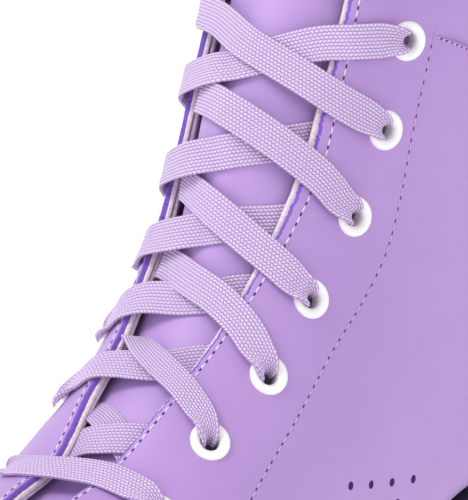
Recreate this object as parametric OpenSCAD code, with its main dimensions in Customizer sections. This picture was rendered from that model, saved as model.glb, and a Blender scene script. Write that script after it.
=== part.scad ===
// Figure skate, right foot: laced leather boot on a chromed blade.
// +X points to the toe, +Y to the inner (medial) side, +Z up; the blade stands at Z = 0.

/* [Boot] */
// Thickness of the outer leather
leather_t = 1.2; // [1:0.1:1.3]
// Thickness of the stiffeners between leather and lining
stiffener_t = 0.5; // [0.3:0.1:0.6]
// Thickness of the lining
lining_t = 0.9; // [0.6:0.1:1.0]
// Depth of the tongue's face below the boot's outer surface
tongue_depth = 5.5; // [5.4:0.1:7]
// Thickness of the tongue's padding
tongue_pad_t = 3.4; // [2:0.1:4]
// How far the tongue stands above the collar, in sections
tongue_rise = 0.45; // [0.2:0.05:0.7]

/* [Lacing] */
// Inner radius of an eyelet
eyelet_r = 2.3; // [2:0.05:2.4]
// Outer radius of an eyelet's flange
eyelet_flange_r = 4.75; // [4.2:0.05:5]
// Width of the flat lace
lace_w = 8.2; // [6:0.1:9]
// Thickness of the lace
lace_t = 1.1; // [0.8:0.1:1.2]

/* [Sole] */
// Thickness of the outsole
outsole_t = 8; // [6:0.5:9]
// How far the outsole stands out past the upper
welt = 1.5; // [1:0.1:2]
// Thickness of the heel lift
lift_t = 6; // [4:0.5:8]
// Height of the mounting face above the ice
mount_z = 50; // [48:0.5:51]

/* [Blade] */
// Thickness of the runner
runner_t = 3.9; // [3.5:0.1:4.4]
// Radius of the rocker curve
rocker_r = 2100; // [1800:50:2600]
// Height of the runner's back edge
runner_h = 27; // [24:0.5:29]
// Thickness of the mounting plates
plate_t = 2.4; // [2:0.1:3]
// Shank radius of the mounting screws
screw_r = 1.9; // [1.6:0.1:2]

/* [Hidden] */

$fn = 48;
layer_gap = 0.3;
plate_gap = 0.1;
counter_gap = 0.15;

// Sections of the boot from the toe (0) to the collar (17) and past it (18).
// Each is [front x, front z, back x, back z, half width, centre fraction,
// front roundness, back roundness, sideways shift, half gap at the front].
// Where there is a gap, the front point is the flap's edge.
SECTIONS = [
    [135.0, 78.0, 135, 76.0, 1.0, .40, 2.2, 2.6, 6.0, 0],
    [132.5, 90.0, 132.5, 66.0, 15.0, .40, 2.2, 3.0, 6.0, 0],
    [126.0, 98.0, 126, 64.0, 25.5, .38, 2.2, 3.6, 5.5, 0],
    [115.0, 103.5, 115, 62.0, 33.5, .36, 2.2, 4.0, 4.2, 0],
    [98.0, 107.0, 98, 60.0, 40.0, .34, 2.2, 4.4, 2.2, 0],
    [78.0, 110.5, 78, 58.0, 44.2, .32, 2.1, 4.8, 0.5, 0],
    [60.0, 117.0, 54, 58.0, 44.8, .32, 2.0, 5.4, 0, 0],
    [43.5, 121.5, 28, 61.0, 41.5, .34, 2.0, 6.2, 0, 7.5],
    [29.5, 132.0, -2, 70.0, 37.5, .38, 2.0, 7.0, 0, 10.6],
    [15.0, 143.0, -32, 82.0, 35.5, .40, 2.0, 7.4, 0, 12.9],
    [4.0, 154.5, -62, 92.0, 34.5, .40, 2.0, 7.4, 0, 15.5],
    [-5.0, 165.0, -94, 94.5, 34.0, .40, 2.0, 6.4, 0, 17.2],
    [-11.5, 175.0, -117, 97.0, 34.0, .40, 2.0, 4.2, 0, 18.7],
    [-17.0, 185.5, -128, 108.0, 34.0, .40, 2.0, 3.0, 0, 19.8],
    [-21.5, 197.0, -129, 136.0, 34.5, .40, 2.0, 2.3, 0, 20],
    [-27.5, 212.0, -126, 165.0, 36.0, .42, 2.0, 2.2, 0, 20],
    [-35.5, 236.0, -123, 205.0, 39.0, .45, 2.0, 2.2, 0, 20],
    [-47.0, 278.0, -132, 254.0, 43.5, .48, 2.0, 2.2, 0, 21],
    [-60.0, 322.0, -144, 302.0, 49.0, .50, 2.0, 2.2, 0, 22]];
LAST = len(SECTIONS) - 1;
collar = 17;
throat = 5.35;
quarter_top = 15.27;
seam_deg = 57.8;
lasting_deg = 176;
backstay_deg = 160;

// Eyelet rows from the throat up: [section, angle round the boot]
EYELETS = [
    [6.85, 32.5], [8.05, 37], [9.2, 43.5], [10.5, 45.5], [12.25, 48.5], [13.9, 51.3], [15.1, 51.3]];
HOOKS = [[15.75, 50], [16.2, 49], [16.62, 48]];
TOP = len(EYELETS) - 1;

// ---- The boot's surface ----
function front_point(r) =
    let (k = r[9] > 0 ? r[5] + (1 - r[5]) * pow(1 - pow(r[9] / r[4], r[6]), 1 / r[6]) : 1)
    [r[2] + (r[0] - r[2]) / k, r[3] + (r[1] - r[3]) / k];
STATIONS = [for (r = SECTIONS) let (f = front_point(r)) [f[0], f[1], for (i = [2:8]) r[i]]];

function station(i) =
    i < 0 ? 2 * STATIONS[0] - STATIONS[1] :
    i > LAST ? 2 * STATIONS[LAST] - STATIONS[LAST - 1] : STATIONS[i];
function blend4(a, b, c, d, f) =
    0.5 * (2 * b + (c - a) * f + (2 * a - 5 * b + 4 * c - d) * f * f + (3 * b - a - 3 * c + d) * f * f * f);
function section(u) =
    let (v = min(max(u, 0), LAST), i = min(floor(v), LAST - 1))
    blend4(station(i - 1), station(i), station(i + 1), station(i + 2), v - i);

// Point of the outer surface at section u and angle a (0 front, 180 back, minus on the outer side)
function skin(u, a) =
    let (s = section(u), c = cos(a), n = c >= 0 ? s[6] : s[7], q = pow(abs(c), 2 / n),
         front = [s[0], s[1]], back = [s[2], s[3]], centre = back + (front - back) * s[5],
         p = centre + (c >= 0 ? front - centre : back - centre) * q)
    [p[0], s[8] + sign(sin(a)) * s[4] * pow(abs(sin(a)), 2 / n), p[1]];
function unit(v) = v / max(norm(v), 1e-9);
function normal(u, a) =
    unit(cross(skin(u, a + 0.3) - skin(u, a - 0.3), skin(u + 0.01, a) - skin(u - 0.01, a)));
function on_boot(u, a, h) = skin(u, a) + h * normal(u, a);

function half_gap(u) = lookup(u, [
    [5.2, 0], [throat, 4.5], [5.6, 6.2], [6, 6.8], [7, 7.5], [8, 10.6], [9, 12.9], [10, 15.5],
    [11, 17.2], [12, 18.7], [13, 19.8], [14, 20], [16, 20], [17, 21], [18, 22]]);
function angle_at(u, y) = let (s = section(u)) asin(pow(min(y / s[4], 1), s[6] / 2));
function edge_deg(u) = angle_at(u, half_gap(u));
function quarter_back(u) = lookup(u, [[0, lasting_deg], [12, lasting_deg], [13, backstay_deg - 0.4]]);

// ---- Solids made of surface patches ----
// A slab from height h0 down to h1 over sections us; its side nodes are at deg(u, 0) to deg(u, na)
module patch(us, na, deg, h0, h1) {
    nu = len(us) - 1;
    row = na + 1;
    layer = (nu + 1) * row;
    points = [for (h = [h0, h1]) for (u = us) for (j = [0:na]) on_boot(u, deg(u, j), h)];
    function quad(a, b, c, d) = [[a, b, c], [a, c, d]];
    faces = [
        for (i = [0:nu - 1]) for (j = [0:na - 1]) let (a = i * row + j)
            for (f = quad(a, a + row, a + row + 1, a + 1)) f,
        for (i = [0:nu - 1]) for (j = [0:na - 1]) let (a = layer + i * row + j)
            for (f = quad(a, a + 1, a + row + 1, a + row)) f,
        for (i = [0:nu - 1]) let (a = i * row, b = layer + a)
            for (f = quad(a, b, b + row, a + row)) f,
        for (i = [0:nu - 1]) let (a = i * row + na, b = layer + a)
            for (f = quad(a, a + row, b + row, b)) f,
        for (j = [0:na - 1]) let (a = j, b = layer + a) for (f = quad(a, a + 1, b + 1, b)) f,
        for (j = [0:na - 1]) let (a = nu * row + j, b = layer + a) for (f = quad(a, b, b + 1, a + 1)) f];
    polyhedron(points, faces, convexity = 6);
}

// A closed toe cup over sections us, between heights h0 and h1
module cup(us, na, h0, h1) {
    nu = len(us) - 1;
    layer = (nu + 1) * na;
    points = [for (h = [h0, h1]) for (u = us) for (j = [0:na - 1]) on_boot(u, -180 + 360 * j / na, h)];
    function quad(a, b, c, d) = [[a, b, c], [a, c, d]];
    faces = [
        for (i = [0:nu - 1]) for (j = [0:na - 1]) let (a = i * na + j, b = i * na + (j + 1) % na)
            for (f = quad(a, a + na, b + na, b)) f,
        for (i = [0:nu - 1]) for (j = [0:na - 1])
            let (a = layer + i * na + j, b = layer + i * na + (j + 1) % na)
                for (f = quad(a, b, b + na, a + na)) f,
        for (j = [0:na - 1]) let (a = nu * na + j, b = nu * na + (j + 1) % na)
            for (f = quad(a, a + layer, b + layer, b)) f,
        [for (j = [0:na - 1]) j],
        [for (j = [0:na - 1]) layer + na - 1 - j]];
    polyhedron(points, faces, convexity = 6);
}

// Nested layers share these section and angle nodes, so that their facets run parallel
function spread(low, high, n) = [for (i = [0:n]) low + (high - low) * i / n];
function between(us, low, high) = [for (u = us) if (u >= low && u <= high) u];
TOE_US = spread(0, throat - 0.05, 13);
SIDE_US = spread(throat, quarter_top, 22);
TOP_US = between(spread(quarter_top, collar, 5), quarter_top + 0.01, collar);
FLAP_US = concat(SIDE_US, TOP_US);
// Node 0 is the flap's edge, 4 the stitch line behind the eyelets, 16 the back line
function node_deg(u, j, back) =
    j <= 4 ? edge_deg(u) + (seam_deg - edge_deg(u)) * j / 4 : seam_deg + (back - seam_deg) * (j - 4) / 12;
function upper_deg(u, j) = node_deg(u, j, quarter_back(u));
function lining_deg(u, j) = node_deg(u, j, lining_back(u));
// Nodes from j0 on the inner side, round the back line, to j0 on the outer side
function round_deg(u, k, j0) = k <= 16 - j0 ? lining_deg(u, j0 + k) : 360 - lining_deg(u, 33 - j0 - k);

// Moves its children to section u, angle a: their Z is the outward normal, X runs up along the boot
module at_boot(u, a, h = 0) {
    o = on_boot(u, a, h);
    n = normal(u, a);
    e = skin(u + 0.02, a) - skin(u - 0.02, a);
    x = unit(e - (e * n) * n);
    y = cross(n, x);
    multmatrix([[x[0], y[0], n[0], o[0]], [x[1], y[1], n[1], o[1]], [x[2], y[2], n[2], o[2]]]) children();
}

hook_rivet_r = 1.8;
// side is 1 on the inner side and -1 on the outer side
module at_eyelets(side) { for (e = EYELETS) at_boot(e[0], side * e[1]) children(); }
module at_hooks(side) { for (e = HOOKS) at_boot(e[0], side * e[1]) children(); }
module lacing_holes(side) {
    at_eyelets(side) translate([0, 0, -5]) cylinder(r = eyelet_r + 0.55, h = 7);
    at_hooks(side) translate([0, 0, -5]) cylinder(r = hook_rivet_r + 0.05, h = 7);
}

module side_patch(side, us, na, deg, h0, h1) {
    if (side > 0) patch(us, na, deg, h0, h1);
    else patch(us, na, function(u, j) -deg(u, na - j), h0, h1);
}

// ---- Upper ----
leather_in = -leather_t;
stiff_out = leather_in - layer_gap;
stiff_in = stiff_out - stiffener_t;
lining_out = stiff_in - layer_gap;
lining_in = lining_out - lining_t;

module vamp() { color("#b995dc") cup(TOE_US, 36, 0, leather_in); }
module quarter(side) {
    color("#b58fd8") side_patch(side, SIDE_US, 12,
        function(u, j) j == 0 ? seam_deg + 0.3 : upper_deg(u, j + 4), 0, leather_in);
}
module medial_quarter() quarter(1);
module lateral_quarter() quarter(-1);
module facing(side) {
    color("#ba97de") difference() {
        side_patch(side, FLAP_US, 4, function(u, j) upper_deg(u, j), 0, leather_in);
        lacing_holes(side);
    }
}
module medial_facing() facing(1);
module lateral_facing() facing(-1);
module cuff(side) {
    color("#b892dc") side_patch(side, concat([quarter_top + 0.02], TOP_US), 12,
        function(u, j) j == 0 ? seam_deg + 0.3 : upper_deg(u, j + 4), 0, leather_in);
}
module medial_cuff() cuff(1);
module lateral_cuff() cuff(-1);
module backstay() {
    color("#ac86d0") patch(concat([12.05], between(FLAP_US, 12.2, collar)), 6,
        function(u, j) quarter_back(u) + 0.4 + (359.2 - 2 * quarter_back(u)) * j / 6, 0, leather_in);
}

module toe_puff() { color("#d8cdb8") cup(between(TOE_US, 0.2, 2.9), 36, stiff_out, stiff_in); }
module heel_counter() {
    color("#cfc2a8") patch(between(SIDE_US, 9.4, 14.6), 17, function(u, k) round_deg(u, k, 8),
        stiff_out - counter_gap, stiff_in - counter_gap);
}
module stay(side) {
    color("#e6dccb") difference() {
        side_patch(side, between(FLAP_US, throat + 0.2, collar - 0.2), 4,
            function(u, j) upper_deg(u, j) - (j == 4 ? 1 : 0), stiff_out, stiff_in);
        lacing_holes(side);
    }
}
module medial_stay() stay(1);
module lateral_stay() stay(-1);

module vamp_lining() { color("#ece0e2") cup(between(TOE_US, 0.2, 6), 36, lining_out, lining_in); }
function lining_back(u) = lookup(u, [[0, lasting_deg], [12, lasting_deg], [13, 179.6]]);
module side_lining(side) {
    color("#efe3e6") difference() {
        side_patch(side, FLAP_US, 16, function(u, j) lining_deg(u, j), lining_out, lining_in);
        lacing_holes(side);
    }
}
module medial_lining() side_lining(1);
module lateral_lining() side_lining(-1);
module collar_padding() {
    color("#e9dcea") patch(concat(between(FLAP_US, 16.2, 16.8), [collar - 0.05]), 23,
        function(u, k) round_deg(u, k, 5), lining_in - layer_gap, lining_in - 4.5);
}

// ---- Tongue ----
tongue_top = collar + tongue_rise;
tongue_half_w = function(u) lookup(u, [[5.5, 17], [8, 22], [11, 24.5], [15, 26], [18, 30]]);
TONGUE_US = spread(throat + 0.2, tongue_top, 24);
module tongue() {
    color("#c7aee9") patch(TONGUE_US, 12,
        function(u, j) (j / 6 - 1) * angle_at(u, tongue_half_w(u)), -tongue_depth, -tongue_depth - 1.2);
}
module tongue_padding() {
    color("#efe6f2") patch(between(TONGUE_US, throat + 0.3, tongue_top - 0.05), 12,
        function(u, j) (j / 6 - 1) * angle_at(u, tongue_half_w(u) - 2),
        -tongue_depth - 1.2 - layer_gap, -tongue_depth - 1.2 - tongue_pad_t);
}

// ---- Sole ----
// A solid between a top and a bottom line, drawn along the boot's underside
module sole_solid(us, top, bottom, half_w, shift) {
    n = len(us);
    points = [for (u = us) let (x = shift(u)[0], y = shift(u)[1], w = half_w(u))
        for (p = [[-w, top(u)], [w, top(u)], [w, bottom(u)], [-w, bottom(u)]]) [x, y + p[0], p[1]]];
    faces = [
        [3, 2, 1, 0],
        for (i = [0:n - 2]) for (j = [0:3]) let (a = 4 * i + j, b = 4 * i + (j + 1) % 4)
            for (f = [[a, b, b + 4], [a, b + 4, a + 4]]) f,
        [for (j = [0:3]) 4 * (n - 1) + j]];
    polyhedron(points, faces, convexity = 4);
}
heel_end = -129;
toe_spring_z = 66;
heel_seat_x = -94;
// Position round the underside: sections up to the heel seat, then an arc round the heel
function under(u) =
    u <= 11 ? let (s = section(u)) [s[2], s[8], u < 3 ? min(s[3], toe_spring_z) : s[3]]
            : let (k = sin((u - 11) * 90)) [heel_seat_x + (heel_end - heel_seat_x) * k, 0, 94.5 + 2.5 * k];
heel_round = 2.4;
function under_w(u) =
    let (k = sin((u - 11) * 90))
    u <= 11 ? section(u)[4] * 0.95 : 34 * 0.95 * pow(max(1 - pow(k, heel_round), 0), 1 / heel_round);
SOLE_US = [for (i = [0:32]) 0.35 + i * (10.65 / 32), for (i = [1:11]) 11 + i / 12, 11.97];
module underside(us, drop_top, bottom, inset) {
    sole_solid(us, function(u) under(u)[2] - drop_top, bottom,
        function(u) max(under_w(u) + welt - inset, 1), function(u) under(u));
}
waist_x = 26;
arch_slope = 0.42;
heel_breast_u = 9.62;
function sole_bottom(u) =
    let (p = under(u), arch = mount_z + (waist_x - p[0]) * arch_slope)
    p[0] > waist_x ? max(mount_z, p[2] - outsole_t - 2) : min(p[2] - outsole_t, arch);
module outsole() { color("#2c2440") underside(SOLE_US, 0.35, function(u) sole_bottom(u), 0); }
// The shank lies between the two lasted edges of the upper, under the insole board
SHANK_US = [for (i = [0:9]) 6.6 + i * 0.3];
module shank() {
    color("#9aa0a6") sole_solid(SHANK_US, function(u) under(u)[2] + 2.3, function(u) under(u)[2] + 0.3,
        function(u) 7, function(u) under(u));
}
HEEL_US = [for (u = SOLE_US) if (u > heel_breast_u) u];
module heel_block() {
    color("#2a2338") underside(HEEL_US, outsole_t + 0.5, function(u) mount_z + lift_t, 0.8);
}
module heel_lift() {
    color("#1f1a2b") sole_solid(HEEL_US, function(u) mount_z + lift_t - 0.1, function(u) mount_z,
        function(u) max(under_w(u) + welt - 1.2, 1), function(u) under(u));
}
// The board and the footbed lie on the lining, and curl up a little with it at their edges
BOARD_US = concat(between(TOE_US, 1.3, 5.1), between(SIDE_US, 5.6, 12));
board_t = 2;
footbed_t = 3;
function board_deg(u) = lookup(u, [[1.3, 33.5], [5, 33.5], [7, 24], [11, 24], [12, 28]]);
module board(top, thick) {
    patch(BOARD_US, 8, function(u, k) 180 + board_deg(u) * (k / 4 - 1), lining_in - top,
        lining_in - top - thick);
}
module insole_board() { color("#b98f62") board(0.4, board_t); }
module footbed() { color("#8f7fae") board(0.6 + board_t, footbed_t); }

// ---- Eyelets and hooks ----
module eyelet() {
    rotate_extrude() {
        difference() {
            union() {
                translate([eyelet_r, -4]) square([0.5, 4.5]);
                translate([eyelet_r, 0.38]) square([eyelet_flange_r - eyelet_r - 0.35, 0.62]);
                translate([eyelet_flange_r - 0.35, 0.68]) circle(r = 0.32, $fn = 16);
                translate([eyelet_r, -4]) square([1.2, 0.3]);
            }
            translate([-1, -6]) square([1 + eyelet_r, 8]);
        }
    }
}
module medial_eyelets() { color("#f4f3f4") at_eyelets(1) eyelet(); }
module lateral_eyelets() { color("#f4f3f4") at_eyelets(-1) eyelet(); }

hook_w = 5;
hook_mid_r = 2.5;
hook_t = 1.1;
// side turns the mouth of the hook away from the lacing
module hook(side) {
    translate([0, 0, -4]) cylinder(r = hook_rivet_r, h = 4.6);
    translate([0, 0, 0.12]) cylinder(r = 3.4, h = hook_t);
    rotate([0, 0, side > 0 ? 0 : 180]) {
        translate([-hook_w / 2, -3, 0.12]) cube([hook_w, 3, hook_t]);
        translate([0, -3, 0.12 + hook_t / 2 + hook_mid_r]) rotate([0, -90, 0]) rotate([0, 0, 90])
            rotate_extrude(angle = 180)
                translate([hook_mid_r, 0]) square([hook_t, hook_w], center = true);
        translate([-hook_w / 2, -3, 0.12 + 2 * hook_mid_r]) cube([hook_w, 4.2, hook_t]);
    }
}
module medial_hooks() { color("#e9e9ee") at_hooks(1) hook(1); }
module lateral_hooks() { color("#e9e9ee") at_hooks(-1) hook(-1); }

// ---- Lace ----
// A flat band through points, each [position, face normal, width]
module band(path, t = lace_t) {
    n = len(path);
    function along(i) = unit(path[min(i + 1, n - 1)][0] - path[max(i - 1, 0)][0]);
    points = [for (i = [0:n - 1])
        let (p = path[i], w = unit(cross(p[1], along(i))) * p[2] / 2, m = p[1] * t / 2)
            for (k = [w + m, -w + m, -w - m, w - m]) p[0] + k];
    faces = [
        [0, 1, 2, 3],
        for (i = [0:n - 2]) for (j = [0:3]) let (a = 4 * i + j, b = 4 * i + (j + 1) % 4)
            for (f = [[a, a + 4, b + 4], [a, b + 4, b]]) f,
        [for (j = [3:-1:0]) 4 * (n - 1) + j]];
    polyhedron(points, faces, convexity = 4);
}
outer_h = 1.75;
inner_h = -4.45;
under_h = -4.4;
over_h = -3.1;
edge_h = 1.3;
hooked_h = 3;
steps = 14;
// A strand from [section, angle] to [section, angle], with its height looked up from the angle
module strand(from, to, heights) {
    band([for (i = [0:steps]) let (k = i / steps, u = from[0] + (to[0] - from[0]) * k,
        a = from[1] + (to[1] - from[1]) * k, w = lace_w * lookup(min(k, 1 - k), [[0, 0.45], [0.12, 1]]))
        [on_boot(u, a, lookup(a, heights)), normal(u, a), w]]);
}
function near(e) = [e[0], e[1]];
function far(e) = [e[0], -e[1]];
// Over the inner flap, over the other strands, under the outer flap
module over_strand(i, last) {
    a = EYELETS[i];
    b = EYELETS[i + 1];
    strand(near(a), far(b), [
        [-b[1], last ? outer_h : inner_h], [-edge_deg(b[0]), last ? edge_h : under_h],
        [0, over_h], [edge_deg(a[0]), edge_h], [a[1], outer_h]]);
}
// Over the outer flap, under the other strands, under the inner flap
module under_strand(i, last) {
    a = EYELETS[i];
    b = EYELETS[i + 1];
    strand(far(a), near(b), [
        [-a[1], outer_h], [-edge_deg(a[0]), edge_h], [-4, under_h],
        [edge_deg(b[0]) - 3, last ? 0 : under_h], [edge_deg(b[0]), last ? edge_h : under_h],
        [b[1], last ? outer_h : inner_h]]);
}
module lace_pass(side) { at_eyelets(side) translate([0, 0, -5]) cylinder(r = 1.9, h = 7.2, $fn = 16); }
module lace() {
    color("#cfb2ea") {
        e0 = EYELETS[0];
        strand(near(e0), far(e0), [
            [-e0[1], outer_h], [-edge_deg(e0[0]), 1.4], [0, 0.4],
            [edge_deg(e0[0]), 1.4], [e0[1], outer_h]]);
        strand(near(e0), far(EYELETS[1]), [[-40, inner_h], [40, inner_h]]);
        strand(far(e0), near(EYELETS[1]), [
            [-40, inner_h], [-12, inner_h], [0, over_h], [12, inner_h], [40, inner_h]]);
        for (i = [1:TOP - 1]) {
            over_strand(i, i == TOP - 1);
            under_strand(i, i == TOP - 1);
        }
        lace_pass(1);
        lace_pass(-1);
        t = EYELETS[TOP];
        h0 = HOOKS[0];
        strand(near(t), far(h0), [
            [-h0[1], hooked_h], [-edge_deg(h0[0]), 1.4], [0, under_h],
            [edge_deg(t[0]), under_h], [t[1], inner_h]]);
        strand(far(t), near(h0), [
            [-t[1], inner_h], [-edge_deg(t[0]), under_h], [0, over_h],
            [edge_deg(h0[0]), 1.4], [h0[1], hooked_h]]);
        for (i = [0:1]) {
            strand(near(HOOKS[i]), far(HOOKS[i + 1]), [
                [-48, hooked_h], [-30, 1.4], [0, -3.0], [30, 1.4], [48, hooked_h]]);
            strand(far(HOOKS[i]), near(HOOKS[i + 1]), [
                [-48, hooked_h], [-30, 1.4], [-4, under_h], [4, under_h], [30, 1.4], [48, hooked_h]]);
        }
        k = [knot_u, 0];
        strand(near(HOOKS[2]), k, [[0, knot_h], [30, 2], [48, hooked_h]]);
        strand(far(HOOKS[2]), k, [[-48, hooked_h], [-30, 2], [0, knot_h]]);
    }
}
knot_u = 16.86;
knot_h = 1.2;
module lace_knot() {
    color("#c6a6e4") at_boot(knot_u, 0, knot_h + 2)
        rotate([90, 0, 0]) cylinder(r = 5, h = 12, center = true);
}

// A free band through points given as [section, angle, height], rounded between them
module free_band(route, n, w = lace_w) {
    m = len(route) - 1;
    function at(i) = let (p = route[min(max(i, 0), m)]) on_boot(p[0], p[1], p[2]);
    function spot(k) =
        let (i = min(floor(k), m - 1))
        blend4(at(i - 1), at(i), at(i + 1), at(i + 2), k - i);
    function face(k) =
        let (i = min(floor(k), m - 1), f = k - i, p = route[i] * (1 - f) + route[i + 1] * f)
        normal(p[0], p[1]);
    band([for (i = [0:n]) let (k = i * m / n) [spot(k), face(k), w]]);
}
LOOP = [
    [16.86, 9, 3.5], [16.75, 24, 10], [16.4, 38, 13], [16.0, 46, 12], [15.95, 40, 9],
    [16.3, 30, 9], [16.74, 12, 7]];
LONG_TAIL = [
    [16.78, -9, 3], [16.72, -26, 9], [16.45, -50, 9], [16.0, -72, 6], [15.2, -84, 4],
    [14.2, -90, 3.5], [13.1, -94, 3.5]];
SHORT_TAIL = [
    [16.9, -10, 5.6], [16.9, -28, 12], [16.66, -56, 12], [16.2, -84, 7], [15.4, -98, 4.5],
    [14.5, -104, 3.5], [13.6, -108, 3.5]];
// The outer loop mirrors the inner one and lies on top of it at the knot
LATERAL_LOOP = [for (p = LOOP) [p[0] - 0.02, -p[1] * 0.96, p[2] + 4.5]];
module medial_loop() { color("#cdb0ea") free_band(LOOP, 22); }
module lateral_loop() { color("#cdb0ea") free_band(LATERAL_LOOP, 22); }
module long_tail() { color("#cdb0ea") free_band(LONG_TAIL, 26); }
module short_tail() { color("#cdb0ea") free_band(SHORT_TAIL, 26); }
aglet_l = 20;
aglet_r = 1.7;
module aglet(route) {
    m = len(route) - 1;
    e = on_boot(route[m][0], route[m][1], route[m][2]);
    d = unit(e - on_boot(route[m - 1][0], route[m - 1][1], route[m - 1][2]));
    translate(e + d * 0.3) rotate([0, acos(d[2]), atan2(d[1], d[0])])
        cylinder(r = aglet_r, h = aglet_l, $fn = 24);
}
module aglets() {
    color("#e4d6f4") {
        aglet(LONG_TAIL);
        aglet(SHORT_TAIL);
    }
}

// ---- Blade ----
sole_plate_x = 70;
sole_plate_y = 1.5;
heel_plate_x = -92;
plate_corner_r = 9;
module plate(l, w, z) {
    translate([0, 0, z]) linear_extrude(plate_t) hull() for (x = [-1, 1], y = [-1, 1])
        translate([x * (l / 2 - plate_corner_r), y * (w / 2 - plate_corner_r)])
            circle(r = plate_corner_r, $fn = 32);
}
SOLE_HOLES = [[-40, 0], [-30, 20], [-30, -20], [10, 22], [10, -22], [38, 19], [38, -19]];
HEEL_HOLES = [[19, 14.3], [19, -14.3], [-19, 14.3], [-19, -14.3]];
plate_z = mount_z - plate_t - plate_gap;
module holes(list) {
    for (p = list) translate([p[0], p[1], plate_z - 1]) cylinder(r = screw_r + 0.1, h = plate_t + 2);
}
module sole_plate() {
    color("#d7d9dd") translate([sole_plate_x, sole_plate_y, 0]) difference() {
        plate(96, 58, plate_z);
        holes(SOLE_HOLES);
    }
}
module heel_plate() {
    color("#d7d9dd") translate([heel_plate_x, 0, 0]) difference() {
        plate(58, 44, plate_z);
        holes(HEEL_HOLES);
    }
}
screw_l = 11;
module screws(list) {
    for (p = list) translate([p[0], p[1], plate_z - 1.5]) {
        cylinder(r = 3.4, h = 1.4);
        cylinder(r = screw_r, h = screw_l);
    }
}
module sole_screws() { color("#b9bcc2") translate([sole_plate_x, sole_plate_y, 0]) screws(SOLE_HOLES); }
module heel_screws() { color("#b9bcc2") translate([heel_plate_x, 0, 0]) screws(HEEL_HOLES); }

// The blade stands in the X-Z plane
module upright(t) { translate([0, t / 2, 0]) rotate([90, 0, 0]) linear_extrude(t) children(); }
runner_back = -135;
runner_front = 122;
contact_x = -8;
pick_x = 96;
function rocker_z(x) = rocker_r - sqrt(pow(rocker_r, 2) - pow(x - contact_x, 2));
PICKS = 6;
pick_step = [2.4, 3.4];
pick_top = 36;
back_r = 12;
tang_in = 0.5;
slot_depth = 5;
FEET = [[28, 92], [-126, -60]];
// The runner is thinner where the stanchions grip it
module tang_cuts() {
    for (x = FEET, side = [-1, 1])
        translate([x[0] - 0.4, side * (runner_t / 2 + 1 - tang_in) - 1, runner_h - slot_depth - 0.4])
            cube([x[1] - x[0] + 0.8, 2, 9]);
}
module runner() {
    color("#cfd2d6") difference() {
        runner_blank();
        tang_cuts();
    }
}
module runner_blank() {
    upright(runner_t) polygon([
        for (i = [0:40]) let (x = runner_back + 6 + (pick_x - runner_back - 6) * i / 40) [x, rocker_z(x)],
        [pick_x + 1.2, 5.4],
        for (i = [0:PICKS - 1]) each [
            [pick_x + 7.2 + i * pick_step[0], 3.2 + i * pick_step[1]],
            [pick_x + 5.6 + i * pick_step[0], 6.2 + i * pick_step[1]]],
        [runner_front, 30], [runner_front - 5, pick_top],
        for (i = [0:10]) let (a = i / 10)
            [runner_front - 5 - 26 * a, pick_top - (pick_top - runner_h) * sin(a * 90)],
        for (i = [0:8]) let (a = 90 + i * 22.5 / 2)
            [runner_back + back_r + back_r * cos(a), runner_h - back_r + back_r * sin(a)],
        [runner_back, 7]]);
}
module stanchion(outline, top_w, low_w) {
    difference() {
        intersection() {
            upright(60) polygon(outline);
            rotate([90, 0, 90]) translate([0, 0, -200]) linear_extrude(400) polygon([
                [-low_w / 2, runner_h - slot_depth], [low_w / 2, runner_h - slot_depth],
                [low_w / 2, runner_h + 2], [top_w / 2, plate_z - 1.6], [top_w / 2, plate_z - 0.1],
                [-top_w / 2, plate_z - 0.1], [-top_w / 2, plate_z - 1.6], [-low_w / 2, runner_h + 2]]);
        }
        upright(runner_t - 2 * tang_in + 0.2)
            polygon([[-200, 0], [200, 0], [200, runner_h + 0.1], [-200, runner_h + 0.1]]);
    }
}
module front_stanchion() {
    f = FEET[0];
    color("#d3d5d9") stanchion([
        [f[0], runner_h - slot_depth], [f[1], runner_h - slot_depth], [f[1], runner_h + 2],
        [86, 34], [90, 42], [112, plate_z], [36, plate_z], [50, 42], [50, 36],
        [40, runner_h + 2], [f[0], runner_h - 1]], 24, 7);
}
module rear_stanchion() {
    f = FEET[1];
    color("#d3d5d9") stanchion([
        [f[0], runner_h - slot_depth], [f[1], runner_h - slot_depth], [f[1], runner_h - 1],
        [-72, runner_h + 3], [-76, 38], [-68, plate_z], [-116, plate_z],
        [-108, 38], [-112, runner_h + 3], [f[0], runner_h - 1]], 20, 7);
}

vamp();
medial_quarter();
lateral_quarter();
medial_facing();
lateral_facing();
medial_cuff();
lateral_cuff();
backstay();
toe_puff();
heel_counter();
medial_stay();
lateral_stay();
vamp_lining();
medial_lining();
lateral_lining();
collar_padding();
tongue();
tongue_padding();
insole_board();
footbed();
shank();
outsole();
heel_block();
heel_lift();
medial_eyelets();
lateral_eyelets();
medial_hooks();
lateral_hooks();
lace();
lace_knot();
medial_loop();
lateral_loop();
long_tail();
short_tail();
aglets();
sole_plate();
heel_plate();
front_stanchion();
rear_stanchion();
runner();
sole_screws();
heel_screws();
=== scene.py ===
import math

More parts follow.
